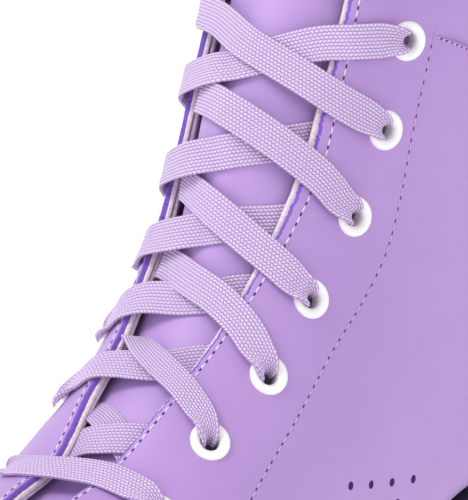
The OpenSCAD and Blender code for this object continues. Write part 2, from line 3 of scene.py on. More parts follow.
import bmesh
import bpy
import numpy as np
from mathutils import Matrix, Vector


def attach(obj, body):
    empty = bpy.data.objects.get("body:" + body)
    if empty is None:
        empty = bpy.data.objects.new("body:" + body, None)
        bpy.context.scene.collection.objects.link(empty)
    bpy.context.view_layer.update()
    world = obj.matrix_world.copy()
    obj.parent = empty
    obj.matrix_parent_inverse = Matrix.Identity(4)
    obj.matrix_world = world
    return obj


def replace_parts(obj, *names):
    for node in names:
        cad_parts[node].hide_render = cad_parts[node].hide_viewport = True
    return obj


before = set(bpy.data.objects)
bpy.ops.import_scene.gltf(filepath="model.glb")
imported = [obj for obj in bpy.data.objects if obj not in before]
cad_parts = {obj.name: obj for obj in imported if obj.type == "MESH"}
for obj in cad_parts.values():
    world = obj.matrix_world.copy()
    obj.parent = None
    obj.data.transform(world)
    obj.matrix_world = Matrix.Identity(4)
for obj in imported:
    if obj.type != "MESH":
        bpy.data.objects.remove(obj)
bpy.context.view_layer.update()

MM = 0.001
RNG = np.random.default_rng(7)

# ---------------------------------------------------------------- the boot's surface
# Sections from the toe (0) to past the collar (18), in millimetres, as in part.scad: front x and z,
# back x and z, half width, centre fraction, front and back roundness, sideways shift, half gap.
SECTIONS = [
    [135.0, 78.0, 135, 76.0, 1.0, .40, 2.2, 2.6, 6.0, 0],
    [132.5, 90.0, 132.5, 66.0, 15.0, .40, 2.2, 3.0, 6.0, 0],
    [126.0, 98.0, 126, 64.0, 25.5, .38, 2.2, 3.6, 5.5, 0],
    [115.0, 103.5, 115, 62.0, 33.5, .36, 2.2, 4.0, 4.2, 0],
    [98.0, 107.0, 98, 60.0, 40.0, .34, 2.2, 4.4, 2.2, 0],
    [78.0, 110.5, 78, 58.0, 44.2, .32, 2.1, 4.8, 0.5, 0],
    [60.0, 117.0, 54, 58.0, 44.8, .32, 2.0, 5.4, 0, 0],
    [43.5, 121.5, 28, 61.0, 41.5, .34, 2.0, 6.2, 0, 7.5],
    [29.5, 132.0, -2, 70.0, 37.5, .38, 2.0, 7.0, 0, 10.6],
    [15.0, 143.0, -32, 82.0, 35.5, .40, 2.0, 7.4, 0, 12.9],
    [4.0, 154.5, -62, 92.0, 34.5, .40, 2.0, 7.4, 0, 15.5],
    [-5.0, 165.0, -94, 94.5, 34.0, .40, 2.0, 6.4, 0, 17.2],
    [-11.5, 175.0, -117, 97.0, 34.0, .40, 2.0, 4.2, 0, 18.7],
    [-17.0, 185.5, -128, 108.0, 34.0, .40, 2.0, 3.0, 0, 19.8],
    [-21.5, 197.0, -129, 136.0, 34.5, .40, 2.0, 2.3, 0, 20],
    [-27.5, 212.0, -126, 165.0, 36.0, .42, 2.0, 2.2, 0, 20],
    [-35.5, 236.0, -123, 205.0, 39.0, .45, 2.0, 2.2, 0, 20],
    [-47.0, 278.0, -132, 254.0, 43.5, .48, 2.0, 2.2, 0, 21],
    [-60.0, 322.0, -144, 302.0, 49.0, .50, 2.0, 2.2, 0, 22]]
COLLAR, THROAT, QUARTER_TOP = 17, 5.35, 15.27
SEAM_DEG, LASTING_DEG, BACKSTAY_DEG = 57.8, 176, 160
EYELETS = [(6.85, 32.5), (8.05, 37), (9.2, 43.5), (10.5, 45.5), (12.25, 48.5), (13.9, 51.3), (15.1, 51.3)]


def front_point(r):
    k = 1.0
    if r[9] > 0:
        k = r[5] + (1 - r[5]) * (1 - (r[9] / r[4]) ** r[6]) ** (1 / r[6])
    return [r[2] + (r[0] - r[2]) / k, r[3] + (r[1] - r[3]) / k]


STATIONS = np.array([front_point(r) + r[2:9] for r in SECTIONS])
LAST = len(STATIONS) - 1
PADDED = np.vstack([2 * STATIONS[0] - STATIONS[1], STATIONS, 2 * STATIONS[-1] - STATIONS[-2]])


def blend4(a, b, c, d, f):
    """Catmull-Rom point between b and c."""
    return 0.5 * (2 * b + (c - a) * f + (2 * a - 5 * b + 4 * c - d) * f ** 2
                  + (3 * b - a - 3 * c + d) * f ** 3)


def section(u):
    u = np.clip(np.asarray(u, float), 0, LAST)
    i = np.minimum(np.floor(u).astype(int), LAST - 1)
    f = (u - i)[..., None]
    return blend4(PADDED[i], PADDED[i + 1], PADDED[i + 2], PADDED[i + 3], f)


def skin(u, a):
    """Points of the boot's outer surface at section u and angle a, in degrees from the front."""
    u, a = np.broadcast_arrays(np.asarray(u, float), np.radians(a))
    s = section(u)
    front, back = s[..., 0:2], s[..., 2:4]
    centre = back + (front - back) * s[..., 5:6]
    c, sn = np.cos(a), np.sin(a)
    n = np.where(c >= 0, s[..., 6], s[..., 7])
    q = np.abs(c) ** (2 / n)
    p = centre + np.where((c >= 0)[..., None], front - centre, back - centre) * q[..., None]
    y = s[..., 8] + np.sign(sn) * s[..., 4] * np.abs(sn) ** (2 / n)
    return np.stack([p[..., 0], y, p[..., 1]], -1)


def unit(v):
    return v / np.maximum(np.linalg.norm(v, axis=-1, keepdims=True), 1e-9)


def normal(u, a):
    u, a = np.broadcast_arrays(np.asarray(u, float), np.asarray(a, float))
    return unit(np.cross(skin(u, a + 0.3) - skin(u, a - 0.3), skin(u + 0.01, a) - skin(u - 0.01, a)))


def on_boot(u, a, h):
    return skin(u, a) + np.asarray(h)[..., None] * normal(u, a)


GAP_U = [5.2, THROAT, 5.6, 6, 7, 8, 9, 10, 11, 12, 13, 14, 16, 17, 18]
GAP_Y = [0, 4.5, 6.2, 6.8, 7.5, 10.6, 12.9, 15.5, 17.2, 18.7, 19.8, 20, 20, 21, 22]


def angle_at(u, y):
    s = section(u)
    return np.degrees(np.arcsin(np.clip(np.asarray(y) / s[..., 4], 0, 1) ** (s[..., 6] / 2)))


def quarter_back(u):
    return np.interp(u, [0, 12, 13], [LASTING_DEG, LASTING_DEG, BACKSTAY_DEG - 0.4])


def ripple(p, scale, seed):
    """Smooth, repeatable unevenness of about -1..1 at points p, with features about scale apart."""
    rng = np.random.default_rng(seed)
    total = 0
    for _ in range(6):
        k = unit(rng.normal(size=3)) * 2 * np.pi / (scale * rng.uniform(0.8, 1.6))
        total = total + np.sin(p @ k + rng.uniform(0, 6.28))
    return total / 3.5


# ---------------------------------------------------------------- meshes
def add_mesh(name, points, faces, material, body="boot", uv=None, sharp=None, slots=None):
    """A mesh object from points in millimetres; slots gives each face its material's index."""
    mesh = bpy.data.meshes.new(name)
    mesh.from_pydata((np.asarray(points) * MM).tolist(), [], faces)
    materials = material if isinstance(material, (list, tuple)) else [material]
    for m in materials:
        mesh.materials.append(m)
    if slots is not None:
        mesh.polygons.foreach_set("material_index", np.asarray(slots, dtype=np.int32))
    if uv is not None:
        layer = mesh.uv_layers.new(name="UVMap")
        index = np.empty(len(mesh.loops), dtype=np.int32)
        mesh.loops.foreach_get("vertex_index", index)
        layer.data.foreach_set("uv", np.asarray(uv, dtype=np.float32)[index].ravel())
    mesh.shade_smooth()
    if sharp is not None:
        mesh.set_sharp_from_angle(angle=math.radians(sharp))
    mesh.update()
    obj = bpy.data.objects.new(name, mesh)
    bpy.context.scene.collection.objects.link(obj)
    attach(obj, body)
    return obj


def grid_faces(ni, nj, start=0, flip=False, keep=None):
    i, j = np.meshgrid(np.arange(ni - 1), np.arange(nj - 1), indexing="ij")
    if keep is not None:
        i, j = i[keep], j[keep]
    a = (start + i * nj + j).ravel()
    quads = np.stack([a, a + 1, a + nj + 1, a + nj], 1)
    return (quads[:, ::-1] if flip else quads).tolist()


def shell(name, u, a, top, bottom, material, body="boot", keep=None, rim_slots=(0, 0, 0, 0), uv=None):
    """A closed slab over a grid of sections u and angles a, between heights top and bottom.
    keep says which cells are there; a missing cell is a hole through the slab."""
    ni, nj = u.shape
    outer, inner = on_boot(u, a, top), on_boot(u, a, bottom)
    count = ni * nj
    keep = np.ones((ni - 1, nj - 1), bool) if keep is None else keep
    faces = grid_faces(ni, nj, 0, False, keep) + grid_faces(ni, nj, count, True, keep)
    slots = [0] * len(faces)
    padded = np.zeros((ni + 1, nj + 1), bool)
    padded[1:-1, 1:-1] = keep
    for axis, (di, dj) in enumerate([(-1, 0), (1, 0), (0, -1), (0, 1)]):
        ii, jj = np.nonzero(keep & ~padded[1 + di:ni + di, 1 + dj:nj + dj])
        for i, j in zip(ii, jj):
            ends = {0: ((i, j), (i, j + 1)), 1: ((i + 1, j + 1), (i + 1, j)),
                    2: ((i + 1, j), (i, j)), 3: ((i, j + 1), (i + 1, j + 1))}[axis]
            p, q = (e[0] * nj + e[1] for e in ends)
            faces.append([q, p, p + count, q + count])
            on_rim = (i == 0, i == ni - 2, j == 0, j == nj - 2)[axis]
            slots.append(rim_slots[axis] if on_rim else 0)
    points = np.vstack([outer.reshape(-1, 3), inner.reshape(-1, 3)])
    return add_mesh(name, points, faces, material, body, uv=uv, sharp=55, slots=slots)


def lathe(profile, centre, axis, steps=48):
    """Points and faces of a profile of (radius, height) turned about an axis."""
    axis = unit(np.asarray(axis, float))
    x = unit(np.cross(axis, [0.3, 0.5, 0.81]))
    y = np.cross(axis, x)
    t = np.linspace(0, 2 * np.pi, steps, endpoint=False)
    ring = np.cos(t)[:, None] * x + np.sin(t)[:, None] * y
    points = np.concatenate([np.asarray(centre) + r * ring + h * axis for r, h in profile])
    faces = []
    for k in range(len(profile) - 1):
        for s in range(steps):
            n = (s + 1) % steps
            faces.append([k * steps + s, k * steps + n, (k + 1) * steps + n, (k + 1) * steps + s])
    return points, faces


class Bundle:
    """Many small solids gathered in one mesh."""

    def __init__(self):
        self.points, self.faces, self.uv, self.count = [], [], [], 0

    def add(self, points, faces, uv=None):
        self.points.append(np.asarray(points))
        self.faces += [[v + self.count for v in f] for f in faces]
        self.count += len(points)
        if uv is not None:
            self.uv.append(uv)

    def build(self, name, material, body="boot", sharp=None):
        uv = np.vstack(self.uv) if self.uv else None
        return add_mesh(name, np.vstack(self.points), self.faces, material, body, uv=uv, sharp=sharp)


def capsule(a, b, up, width, height, sides=8):
    """A thread lying from a to b: a flattened tube with ends that dip in."""
    a, b, up = (np.asarray(v, float) for v in (a, b, up))
    d = unit(b - a)
    side = unit(np.cross(up, d))
    up = np.cross(d, side)
    length = np.linalg.norm(b - a)
    t = np.linspace(0, 2 * np.pi, sides, endpoint=False)
    points = []
    for k in np.linspace(0, 1, 7):
        swell = math.sin(math.pi * min(max(k, 0.04), 0.96)) ** 0.45
        lift = -height * 0.9 * (abs(2 * k - 1) ** 3)
        centre = a + d * length * k + up * lift
        points.append(centre + swell * (np.cos(t)[:, None] * side * width / 2
                                        + np.sin(t)[:, None] * up * height / 2))
    n = len(points)
    faces = [[r * sides + s, r * sides + (s + 1) % sides, (r + 1) * sides + (s + 1) % sides,
              (r + 1) * sides + s]
             for r in range(n - 1) for s in range(sides)]
    faces += [list(range(sides))[::-1], [(n - 1) * sides + s for s in range(sides)]]
    return np.vstack(points), faces


# ---------------------------------------------------------------- materials
def srgb(r, g, b):
    """Linear colour from 8-bit screen values."""
    return tuple(((c / 255 + 0.055) / 1.055) ** 2.4 if c > 10 else c / 255 / 12.92
                 for c in (r, g, b)) + (1.0,)


class Nodes:
    """Short calls for building a material's nodes."""

    def __init__(self, name, **inputs):
        self.material = bpy.data.materials.new(name)
        self.material.use_nodes = True
        self.tree = self.material.node_tree
        self.shader = self.tree.nodes["Principled BSDF"]
        for key, value in inputs.items():
            self.shader.inputs[key.replace("_", " ")].default_value = value

    def node(self, kind, inputs=None, **settings):
        n = self.tree.nodes.new(kind)
        for key, value in settings.items():
            setattr(n, key, value)
        for key, value in (inputs or {}).items():
            if isinstance(value, bpy.types.NodeSocket):
                self.tree.links.new(value, n.inputs[key])
            else:
                n.inputs[key].default_value = value
        return n

    def math(self, operation, a, b=0.0, clamp=False):
        return self.node("ShaderNodeMath", {0: a, 1: b}, operation=operation, use_clamp=clamp).outputs[0]

    def noise(self, scale, detail=2.0, vector=None, roughness=0.5):
        inputs = {"Scale": scale, "Detail": detail, "Roughness": roughness}
        if vector is None:
            vector = self.node("ShaderNodeTexCoord").outputs["Object"]
        inputs["Vector"] = vector
        return self.node("ShaderNodeTexNoise", inputs).outputs[0]

    def ramp(self, fac, stops):
        n = self.node("ShaderNodeValToRGB", {0: fac})
        ramp = n.color_ramp
        while len(ramp.elements) < len(stops):
            ramp.elements.new(0.5)
        for e, (place, colour) in zip(ramp.elements, stops):
            e.position, e.color = place, colour
        return n.outputs[0]

    def mix(self, fac, a, b):
        return self.node("ShaderNodeMix", {0: fac, 6: a, 7: b}, data_type="RGBA").outputs[2]

    def bump(self, height, distance, strength=1.0, under=None):
        inputs = {"Height": height, "Distance": distance, "Strength": strength}
        if under is not None:
            inputs["Normal"] = under
        return self.node("ShaderNodeBump", inputs).outputs[0]

    def set(self, key, socket):
        self.tree.links.new(socket, self.shader.inputs[key])


def leather(name, light, deep, roughness=0.44, bump=0.00006):
    n = Nodes(name, Roughness=roughness, Specular_IOR_Level=0.42, Sheen_Weight=0.12, Sheen_Roughness=0.5)
    cloud = n.noise(28.0, 3.0)
    n.set("Base Color", n.mix(n.math("MULTIPLY", cloud, 0.9, clamp=True), light, deep))
    grain = n.noise(2600.0, 2.0)
    pores = n.node("ShaderNodeTexVoronoi", {"Scale": 1500.0,
                                            "Vector": n.node("ShaderNodeTexCoord").outputs["Object"]},
                   feature="DISTANCE_TO_EDGE").outputs[0]
    height = n.math("ADD", n.math("MULTIPLY", grain, 0.5), n.math("MINIMUM", pores, 0.25))
    n.set("Normal", n.bump(height, bump, 0.6))
    n.set("Roughness", n.math("ADD", n.math("MULTIPLY", n.noise(190.0, 3.0), 0.16), roughness - 0.08))
    return n.material


def plain(name, colour, roughness=0.5, grain=400.0, depth=0.00003, vary=0.12, **inputs):
    """A material whose tone and surface vary a little."""
    n = Nodes(name, Roughness=roughness, **inputs)
    dark = tuple(c * (1 - vary) for c in colour[:3]) + (1,)
    n.set("Base Color", n.mix(n.noise(grain * 0.12, 3.0), dark, colour))
    n.set("Normal", n.bump(n.noise(grain, 3.0), depth, 0.5))
    return n.material


# Length of one cell of the lace's braid, in millimetres
CELL = 0.98


def braid(name, tint=1.0):
    """Flat braid: U runs along the lace in millimetres, V counts the ribs across it. Its colour follows each
    cell's height: painted shade in the low gaps between cells, a painted highlight on the cell tops.
    """
    n = Nodes(name, Roughness=0.62, Sheen_Weight=0.25, Sheen_Roughness=0.4, Specular_IOR_Level=0.3)
    uv = n.node("ShaderNodeSeparateXYZ", {0: n.node("ShaderNodeUVMap", uv_map="UVMap").outputs[0]})
    x, y = uv.outputs[0], uv.outputs[1]
    rib = n.math("FLOOR", y)
    f = n.math("FRACT", y)
    parity = n.math("MODULO", rib, 2.0)
    lean = n.math("SUBTRACT", 1.0, n.math("MULTIPLY", parity, 2.0))
    slant = n.math("MULTIPLY", n.math("MULTIPLY", n.math("SUBTRACT", f, 0.5), lean), 0.46)
    phase = n.math("ADD", n.math("ADD", n.math("DIVIDE", x, CELL), slant), n.math("MULTIPLY", parity, 0.5))
    c = n.math("ABSOLUTE", n.math("SUBTRACT", n.math("MULTIPLY", n.math("FRACT", phase), 2.0), 1.0))
    cell_along = n.math("SUBTRACT", 1.0, n.math("POWER", c, 5.0))
    cell_across = n.math("POWER", n.math("SINE", n.math("MULTIPLY", f, math.pi)), 0.5)
    height = n.math("MULTIPLY", cell_along, cell_across)
    fuzz = n.noise(2200.0, 2.0)
    tone = n.math("ADD", height, n.math("MULTIPLY", n.math("SUBTRACT", fuzz, 0.5), 0.18))
    # Painted shade and highlight: the ramp turns low height into deep violet in the gaps and high height
    # into pale lilac on the cell tops; the fuzz adds a little random tone.
    shade_to_highlight_stops = [(0.0, srgb(146, 112, 194)), (0.16, srgb(178, 146, 212)), (0.5, srgb(204, 176, 226)),
               (0.92, srgb(230, 208, 242))]
    n.set("Base Color", n.ramp(tone, [(p, tuple(v * tint for v in col[:3]) + (1,)) for p, col in shade_to_highlight_stops]))
    n.set("Normal", n.bump(n.math("ADD", height, n.math("MULTIPLY", fuzz, 0.12)), 0.00030, 0.85))
    return n.material


def metal(name, colour, roughness, brushed=0.0):
    n = Nodes(name, Metallic=1.0, Base_Color=colour)
    coord = n.node("ShaderNodeTexCoord").outputs["Object"]
    stretched = n.node("ShaderNodeMapping", {"Vector": coord, "Scale": (1.0, 60.0, 60.0)}).outputs[0]
    streak = n.noise(60.0, 3.0, stretched)
    n.set("Roughness", n.math("ADD", n.math("MULTIPLY", streak, brushed + 0.05), roughness))
    if brushed:
        n.set("Normal", n.bump(streak, 0.00002, brushed))
    return n.material


def runner_metal():
    """Chrome above, a brushed ground band along the edge."""
    n = Nodes("runner_chrome", Metallic=1.0)
    coord = n.node("ShaderNodeTexCoord").outputs["Object"]
    z = n.node("ShaderNodeSeparateXYZ", {0: coord}).outputs[2]
    ground = n.math("LESS_THAN", z, 0.0085)
    streak = n.noise(900.0, 2.0, n.node("ShaderNodeMapping",
                                        {"Vector": coord, "Scale": (1.0, 1.0, 0.03)}).outputs[0])
    n.set("Base Color", n.mix(ground, srgb(214, 217, 222), srgb(196, 199, 205)))
    n.set("Roughness", n.math("ADD", 0.12, n.math("MULTIPLY", ground,
                                                  n.math("ADD", 0.12, n.math("MULTIPLY", streak, 0.2)))))
    n.set("Normal", n.bump(n.math("MULTIPLY", streak, ground), 0.00003, 0.4))
    return n.material


def stacked_leather():
    """Dark stained heel lifts: thin horizontal layers."""
    n = Nodes("heel_stack", Roughness=0.38, Specular_IOR_Level=0.45)
    coord = n.node("ShaderNodeTexCoord").outputs["Object"]
    z = n.node("ShaderNodeSeparateXYZ", {0: coord}).outputs[2]
    layer = n.math("FRACT", n.math("DIVIDE", z, 0.0046))
    groove = n.math("POWER", n.math("ABSOLUTE", n.math("SUBTRACT", n.math("MULTIPLY", layer, 2.0), 1.0)),
                    14.0)
    fibre = n.noise(700.0, 4.0, n.node("ShaderNodeMapping",
                                       {"Vector": coord, "Scale": (0.35, 0.35, 3.0)}).outputs[0])
    tone = n.math("SUBTRACT", fibre, n.math("MULTIPLY", groove, 0.5))
    n.set("Base Color", n.ramp(tone, [(0.1, srgb(16, 13, 24)), (0.45, srgb(38, 32, 52)),
                                      (0.8, srgb(56, 47, 72))]))
    n.set("Normal", n.bump(n.math("SUBTRACT", n.math("MULTIPLY", fibre, 0.3), groove), 0.00018, 0.8))
    return n.material


def cloth(name, light, dark, scale=1400.0):
    n = Nodes(name, Roughness=0.9, Sheen_Weight=0.4, Specular_IOR_Level=0.15)
    coord = n.node("ShaderNodeTexCoord").outputs["Object"]
    tuft = n.noise(scale, 3.0)
    weave = n.node("ShaderNodeTexVoronoi", {"Scale": scale, "Vector": coord}).outputs[0]
    n.set("Base Color", n.mix(n.math("MULTIPLY", weave, 1.2, clamp=True), light, dark))
    n.set("Normal", n.bump(n.math("ADD", tuft, weave), 0.00012, 0.5))
    return n.material


LEATHER = leather("lilac_leather", srgb(184, 148, 212), srgb(174, 137, 204))
TONGUE_LEATHER = leather("tongue_leather", srgb(190, 155, 219), srgb(180, 144, 210), 0.5)
RAW_EDGE = plain("raw_edge", srgb(140, 100, 215), 0.85, 1800.0, 0.00025, 0.4, Sheen_Weight=0.2)
CREAM = cloth("cream_lining", srgb(252, 240, 240), srgb(226, 206, 214))
LINING = cloth("lining_cloth", srgb(232, 220, 232), srgb(200, 184, 206))
THREAD = plain("thread", srgb(238, 224, 252), 0.5, 3000.0, 0.00006, 0.2, Sheen_Weight=0.3)
SEAM_THREAD = plain("seam_thread", srgb(212, 184, 236), 0.5, 3000.0, 0.00006, 0.25, Sheen_Weight=0.3)
# Painted shade: a dark violet that stands for the shade inside a needle hole or a perforation, laid on small
# marks on the leather.
HOLE_SHADE = plain("painted_hole_shade", srgb(52, 22, 92), 0.9, 900.0, 0.00002, 0.4)
ENAMEL = plain("white_enamel", srgb(250, 249, 249), 0.28, 260.0, 0.00002, 0.02, Coat_Weight=0.35,
               Coat_Roughness=0.15)
LACE = braid("lace_braid")
AGLET = plain("aglet_film", srgb(226, 212, 244), 0.18, 700.0, 0.00004, 0.1, Coat_Weight=0.5)
SOLE = plain("sole_leather", srgb(50, 41, 66), 0.42, 500.0, 0.00008, 0.35)
STACK = stacked_leather()
RUBBER = plain("lift_rubber", srgb(38, 33, 48), 0.75, 1500.0, 0.00010, 0.3)
BOARD = plain("insole_board", srgb(196, 160, 116), 0.85, 900.0, 0.00010, 0.3)
FOOTBED = cloth("footbed_cloth", srgb(176, 158, 206), srgb(140, 122, 176))
CHROME = metal("plate_chrome", srgb(208, 211, 216), 0.14)
STEEL = metal("screw_steel", srgb(176, 179, 184), 0.24, 0.2)
RUNNER = runner_metal()

# ---------------------------------------------------------------- upper leather
LEATHER_T = 1.3


def eyelet_dip(p):
    """The leather is pressed in a little round each eyelet."""
    dip = np.zeros(p.shape[:-1])
    for u, a in EYELETS:
        for side in (1, -1):
            d2 = ((p - skin(u, side * a)) ** 2).sum(-1)
            dip += 0.34 * np.exp(-d2 / 38)
    return dip


def hand_of(u, a):
    """Slow unevenness of the leather's surface, in millimetres."""
    p = skin(u, a)
    return 0.16 * ripple(p, 46, 3) + 0.05 * ripple(p, 15, 5) - eyelet_dip(p)


def near_any(p, centres, radius):
    near = np.zeros(p.shape[:-1], bool)
    for c in centres:
        near |= ((p - c) ** 2).sum(-1) < radius ** 2
    return near


def side_grid(u_steps, start, end, fine_start, fine_end, count):
    """Sections by angles between two border lines; fine distances in mm hug the two borders."""
    width = np.linalg.norm(skin(u_steps, start) - skin(u_steps, end), axis=-1)
    t = np.linspace(0, 1, count)
    rows = []
    for w, a0, a1 in zip(width, start, end):
        lead, trail = np.array(fine_start) / max(w, 8), 1 - np.array(fine_end)[::-1] / max(w, 8)
        mid = lead[-1] + (trail[0] - lead[-1]) * t
        rows.append(a0 + (a1 - a0) * np.concatenate([lead[:-1], mid, trail[1:]]))
    a = np.array(rows)
    return np.repeat(u_steps[:, None], a.shape[1], 1), a


FINE = [0, 0.12, 0.5, 0.85]
ROUND = [-0.34, -0.12, -0.03, 0]
STEPS = 380
facing_u = np.concatenate([[THROAT], np.linspace(THROAT + 0.01, COLLAR - 0.015, STEPS), [COLLAR]])


def facing(side):
    """The flap that carries the eyelets, with a raw cut edge on the lacing side."""
    fray = np.random.default_rng(19 if side > 0 else 23).normal(size=(2, len(facing_u)))
    gap = np.interp(facing_u, GAP_U, GAP_Y)
    u, a = side_grid(facing_u, angle_at(facing_u, gap + 0.07 * fray[0]), np.full_like(facing_u, SEAM_DEG),
                     FINE,
                     [0, 0.25, 0.7], 30)
    a[:, 2] += 0.10 * fray[1]
    top = hand_of(u, side * a)
    top[:, :4] += np.array(ROUND)
    bottom = np.full(u.shape, -LEATHER_T)
    bottom[:, :3] -= 0.2 * np.abs(fray[1])[:, None]
    rag = 0.12 * ripple(skin(u, a), 1.7, 11)[:, :3]
    top[:, :3] += rag * np.array([1.0, 0.7, 0.3])
    top[:, -3:] += np.array([0, -0.05, -0.16]) * (u[:, -3:] < QUARTER_TOP)
    top[0] -= 0.3
    top[-1] -= 0.3
    centres = [skin(eu, ea) for eu, ea in EYELETS]
    mid_u, mid_a = (u[1:, 1:] + u[:-1, :-1]) / 2, (a[1:, 1:] + a[:-1, :-1]) / 2
    keep = ~near_any(skin(mid_u, mid_a), centres, 3.4)
    if side < 0:
        u, a, top, bottom, keep = u[:, ::-1], -a[:, ::-1], top[:, ::-1], bottom[:, ::-1], keep[:, ::-1]
    rim = (0, 0, 1, 0) if side > 0 else (0, 0, 0, 1)
    name = "medial" if side > 0 else "lateral"
    piece = shell(name + "_facing_leather", u, a, top, bottom, [LEATHER, RAW_EDGE], keep=keep, rim_slots=rim)
    mesh = piece.data
    column = 0 if side > 0 else a.shape[1] - 2
    edge_cells = {i * a.shape[1] + column for i in range(a.shape[0])}
    edge_cells |= {i * a.shape[1] + (1 if side > 0 else a.shape[1] - 3) for i in range(a.shape[0])}
    for face in mesh.polygons:
        if min(face.vertices) in edge_cells and max(face.vertices) < a.size:
            face.material_index = 1
    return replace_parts(piece, name + "_facing")


def quarter(side):
    """Side leather from the rear stitch line to the backstay; its top edge stands proud of the cuff."""
    us = np.concatenate([np.linspace(THROAT, QUARTER_TOP - 0.12, 190),
                         QUARTER_TOP - np.array([0.07, 0.04, 0.02, 0.008, 0])])
    u, a = side_grid(us, np.full_like(us, SEAM_DEG + 0.02), quarter_back(us), [0, 0.25, 0.7], FINE, 84)
    top = hand_of(u, side * a)
    top[:, :3] += np.array([-0.16, -0.05, 0])
    lift = np.clip((u - QUARTER_TOP + 0.5) / 0.5, 0, 1) ** 2 * np.clip((a - SEAM_DEG) / 5, 0, 1)
    top += 0.35 * lift
    top[-5:] -= np.array([0, 0.02, 0.1, 0.3, 0.62])[:, None]
    if side < 0:
        u, a, top = u[:, ::-1], -a[:, ::-1], top[:, ::-1]
    name = "medial" if side > 0 else "lateral"
    piece = shell(name + "_quarter_leather", u, a, top, -LEATHER_T, LEATHER)
    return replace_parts(piece, name + "_quarter")


def cuff(side):
    """Leather above the quarter: it runs down under the quarter's raised edge."""
    us = np.concatenate([np.linspace(QUARTER_TOP - 0.06, COLLAR - 0.02, 60), [COLLAR - 0.008, COLLAR]])
    u, a = side_grid(us, np.full_like(us, SEAM_DEG + 0.02), np.full_like(us, BACKSTAY_DEG - 0.4),
                     [0, 0.25, 0.7], FINE, 66)
    top = hand_of(u, side * a)
    sink = np.exp(-np.clip(u - QUARTER_TOP, 0, 9) / 0.16) * np.clip((a - SEAM_DEG) / 6, 0, 1)
    top -= 0.85 * sink
    top[-2:] -= np.array([0.12, 0.45])[:, None]
    if side < 0:
        u, a, top = u[:, ::-1], -a[:, ::-1], top[:, ::-1]
    name = "medial" if side > 0 else "lateral"
    piece = shell(name + "_cuff_leather", u, a, top, -LEATHER_T - 0.6, LEATHER)
    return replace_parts(piece, name + "_cuff")


for side in (1, -1):
    facing(side)
    quarter(side)
    cuff(side)


def backstay():
    us = np.concatenate([np.linspace(12.05, COLLAR - 0.02, 90), [COLLAR - 0.008, COLLAR]])
    start = quarter_back(us) + 0.1
    u, a = side_grid(us, start, 360 - start, FINE, FINE, 26)
    top = hand_of(u, a) + 0.5
    top[:, :4] += np.array([-0.9, -0.4, -0.1, 0])
    top[:, -4:] += np.array([0, -0.1, -0.4, -0.9])
    top[-2:] -= np.array([0.12, 0.45])[:, None]
    piece = shell("backstay_leather", u, a, top, -LEATHER_T, LEATHER)
    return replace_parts(piece, "backstay")


def toe_cup(name, u0, u1, high, low, material, nu=70, na=150, swell=None):
    """A closed cup over the toe, from section u0 to u1."""
    us = u0 + (u1 - u0) * np.linspace(0, 1, nu) ** 1.6
    u, a = np.meshgrid(us, np.linspace(-180, 180, na, endpoint=False), indexing="ij")
    top = np.full(u.shape, high) if swell is None else high + swell(u, a)
    outer, inner = on_boot(u, a, top), on_boot(u, a, np.full(u.shape, low))
    count = u.size
    faces = []
    for i in range(nu - 1):
        for j in range(na):
            p, q = i * na + j, i * na + (j + 1) % na
            faces.append([p, q, q + na, p + na])
            faces.append([p + count, p + na + count, q + na + count, q + count])
    for j in range(na):
        p, q = (nu - 1) * na + j, (nu - 1) * na + (j + 1) % na
        faces.append([p, q, q + count, p + count])
    faces.append(list(range(na))[::-1])
    faces.append([count + j for j in range(na)])
    return add_mesh(name, np.vstack([outer.reshape(-1, 3), inner.reshape(-1, 3)]), faces, material)


backstay()
vamp = toe_cup("vamp_leather", 0.0, THROAT + 0.1, 0.0, -LEATHER_T, LEATHER,
               swell=lambda u, a: hand_of(u, a) + 0.55 * np.clip((u - 4.6) / 0.5, 0,
                       1) - 0.5 * np.clip((u - 5.38) / 0.07, 0, 1))
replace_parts(vamp, "vamp")

# ---------------------------------------------------------------- linings
LINING_PROUD = (0.6, 0.25)


def side_lining(side):
    """Lining of one side; at the flap's edge it shows as two pale layers with a groove between."""
    us = np.linspace(THROAT, COLLAR - 0.01, 130)
    back = np.interp(us, [0, 12, 13], [LASTING_DEG, LASTING_DEG, 179.6])
    name = "medial" if side > 0 else "lateral"
    layers = [(-LEATHER_T - 0.02, -LEATHER_T - 0.92), (-LEATHER_T - 0.97, -LEATHER_T - 1.8)]
    fold = [(0.0, 0.25), (0.3, 0.5)]
    for k, (high, low) in enumerate(layers):
        end = back if k else np.full_like(us, SEAM_DEG - 1)
        edge = angle_at(us, np.interp(us, GAP_U, GAP_Y) - LINING_PROUD[k])
        u, a = side_grid(us, edge, end, [0, 0.1, 0.3, 0.7], [0, 0.5], 60 if k else 24)
        near_edge = np.clip((SEAM_DEG - 8 - a) / 12, 0, 1)
        top = high - fold[k][0] * near_edge
        bottom = low - fold[k][1] * near_edge
        top[:, :3] -= np.array([0.3, 0.12, 0.03])
        bottom[:, :3] += np.array([0.25, 0.1, 0.03])
        top[:, :4] += 0.05 * ripple(skin(u, a), 3.0, 17)[:, :4]
        mid_u, mid_a = (u[1:, 1:] + u[:-1, :-1]) / 2, (a[1:, 1:] + a[:-1, :-1]) / 2
        keep = ~near_any(skin(mid_u, mid_a), [skin(*e) for e in EYELETS], 3.6)
        if side < 0:
            u, a, top, bottom, keep = u[:, ::-1], -a[:, ::-1], top[:, ::-1], bottom[:, ::-1], keep[:, ::-1]
        piece = shell(f"{name}_{('facing_stay', 'lining')[k]}_cloth", u, a, top, bottom,
                      CREAM if k == 0 else LINING, keep=keep)
        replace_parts(piece, name + ("_stay", "_lining")[k])


for side in (1, -1):
    side_lining(side)
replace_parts(toe_cup("vamp_lining_cloth", 0.2, THROAT + 0.05, -2.15, -3.0, LINING, 30, 80),
                    "vamp_lining")

# ---------------------------------------------------------------- tongue
TONGUE_DEPTH = 5.1


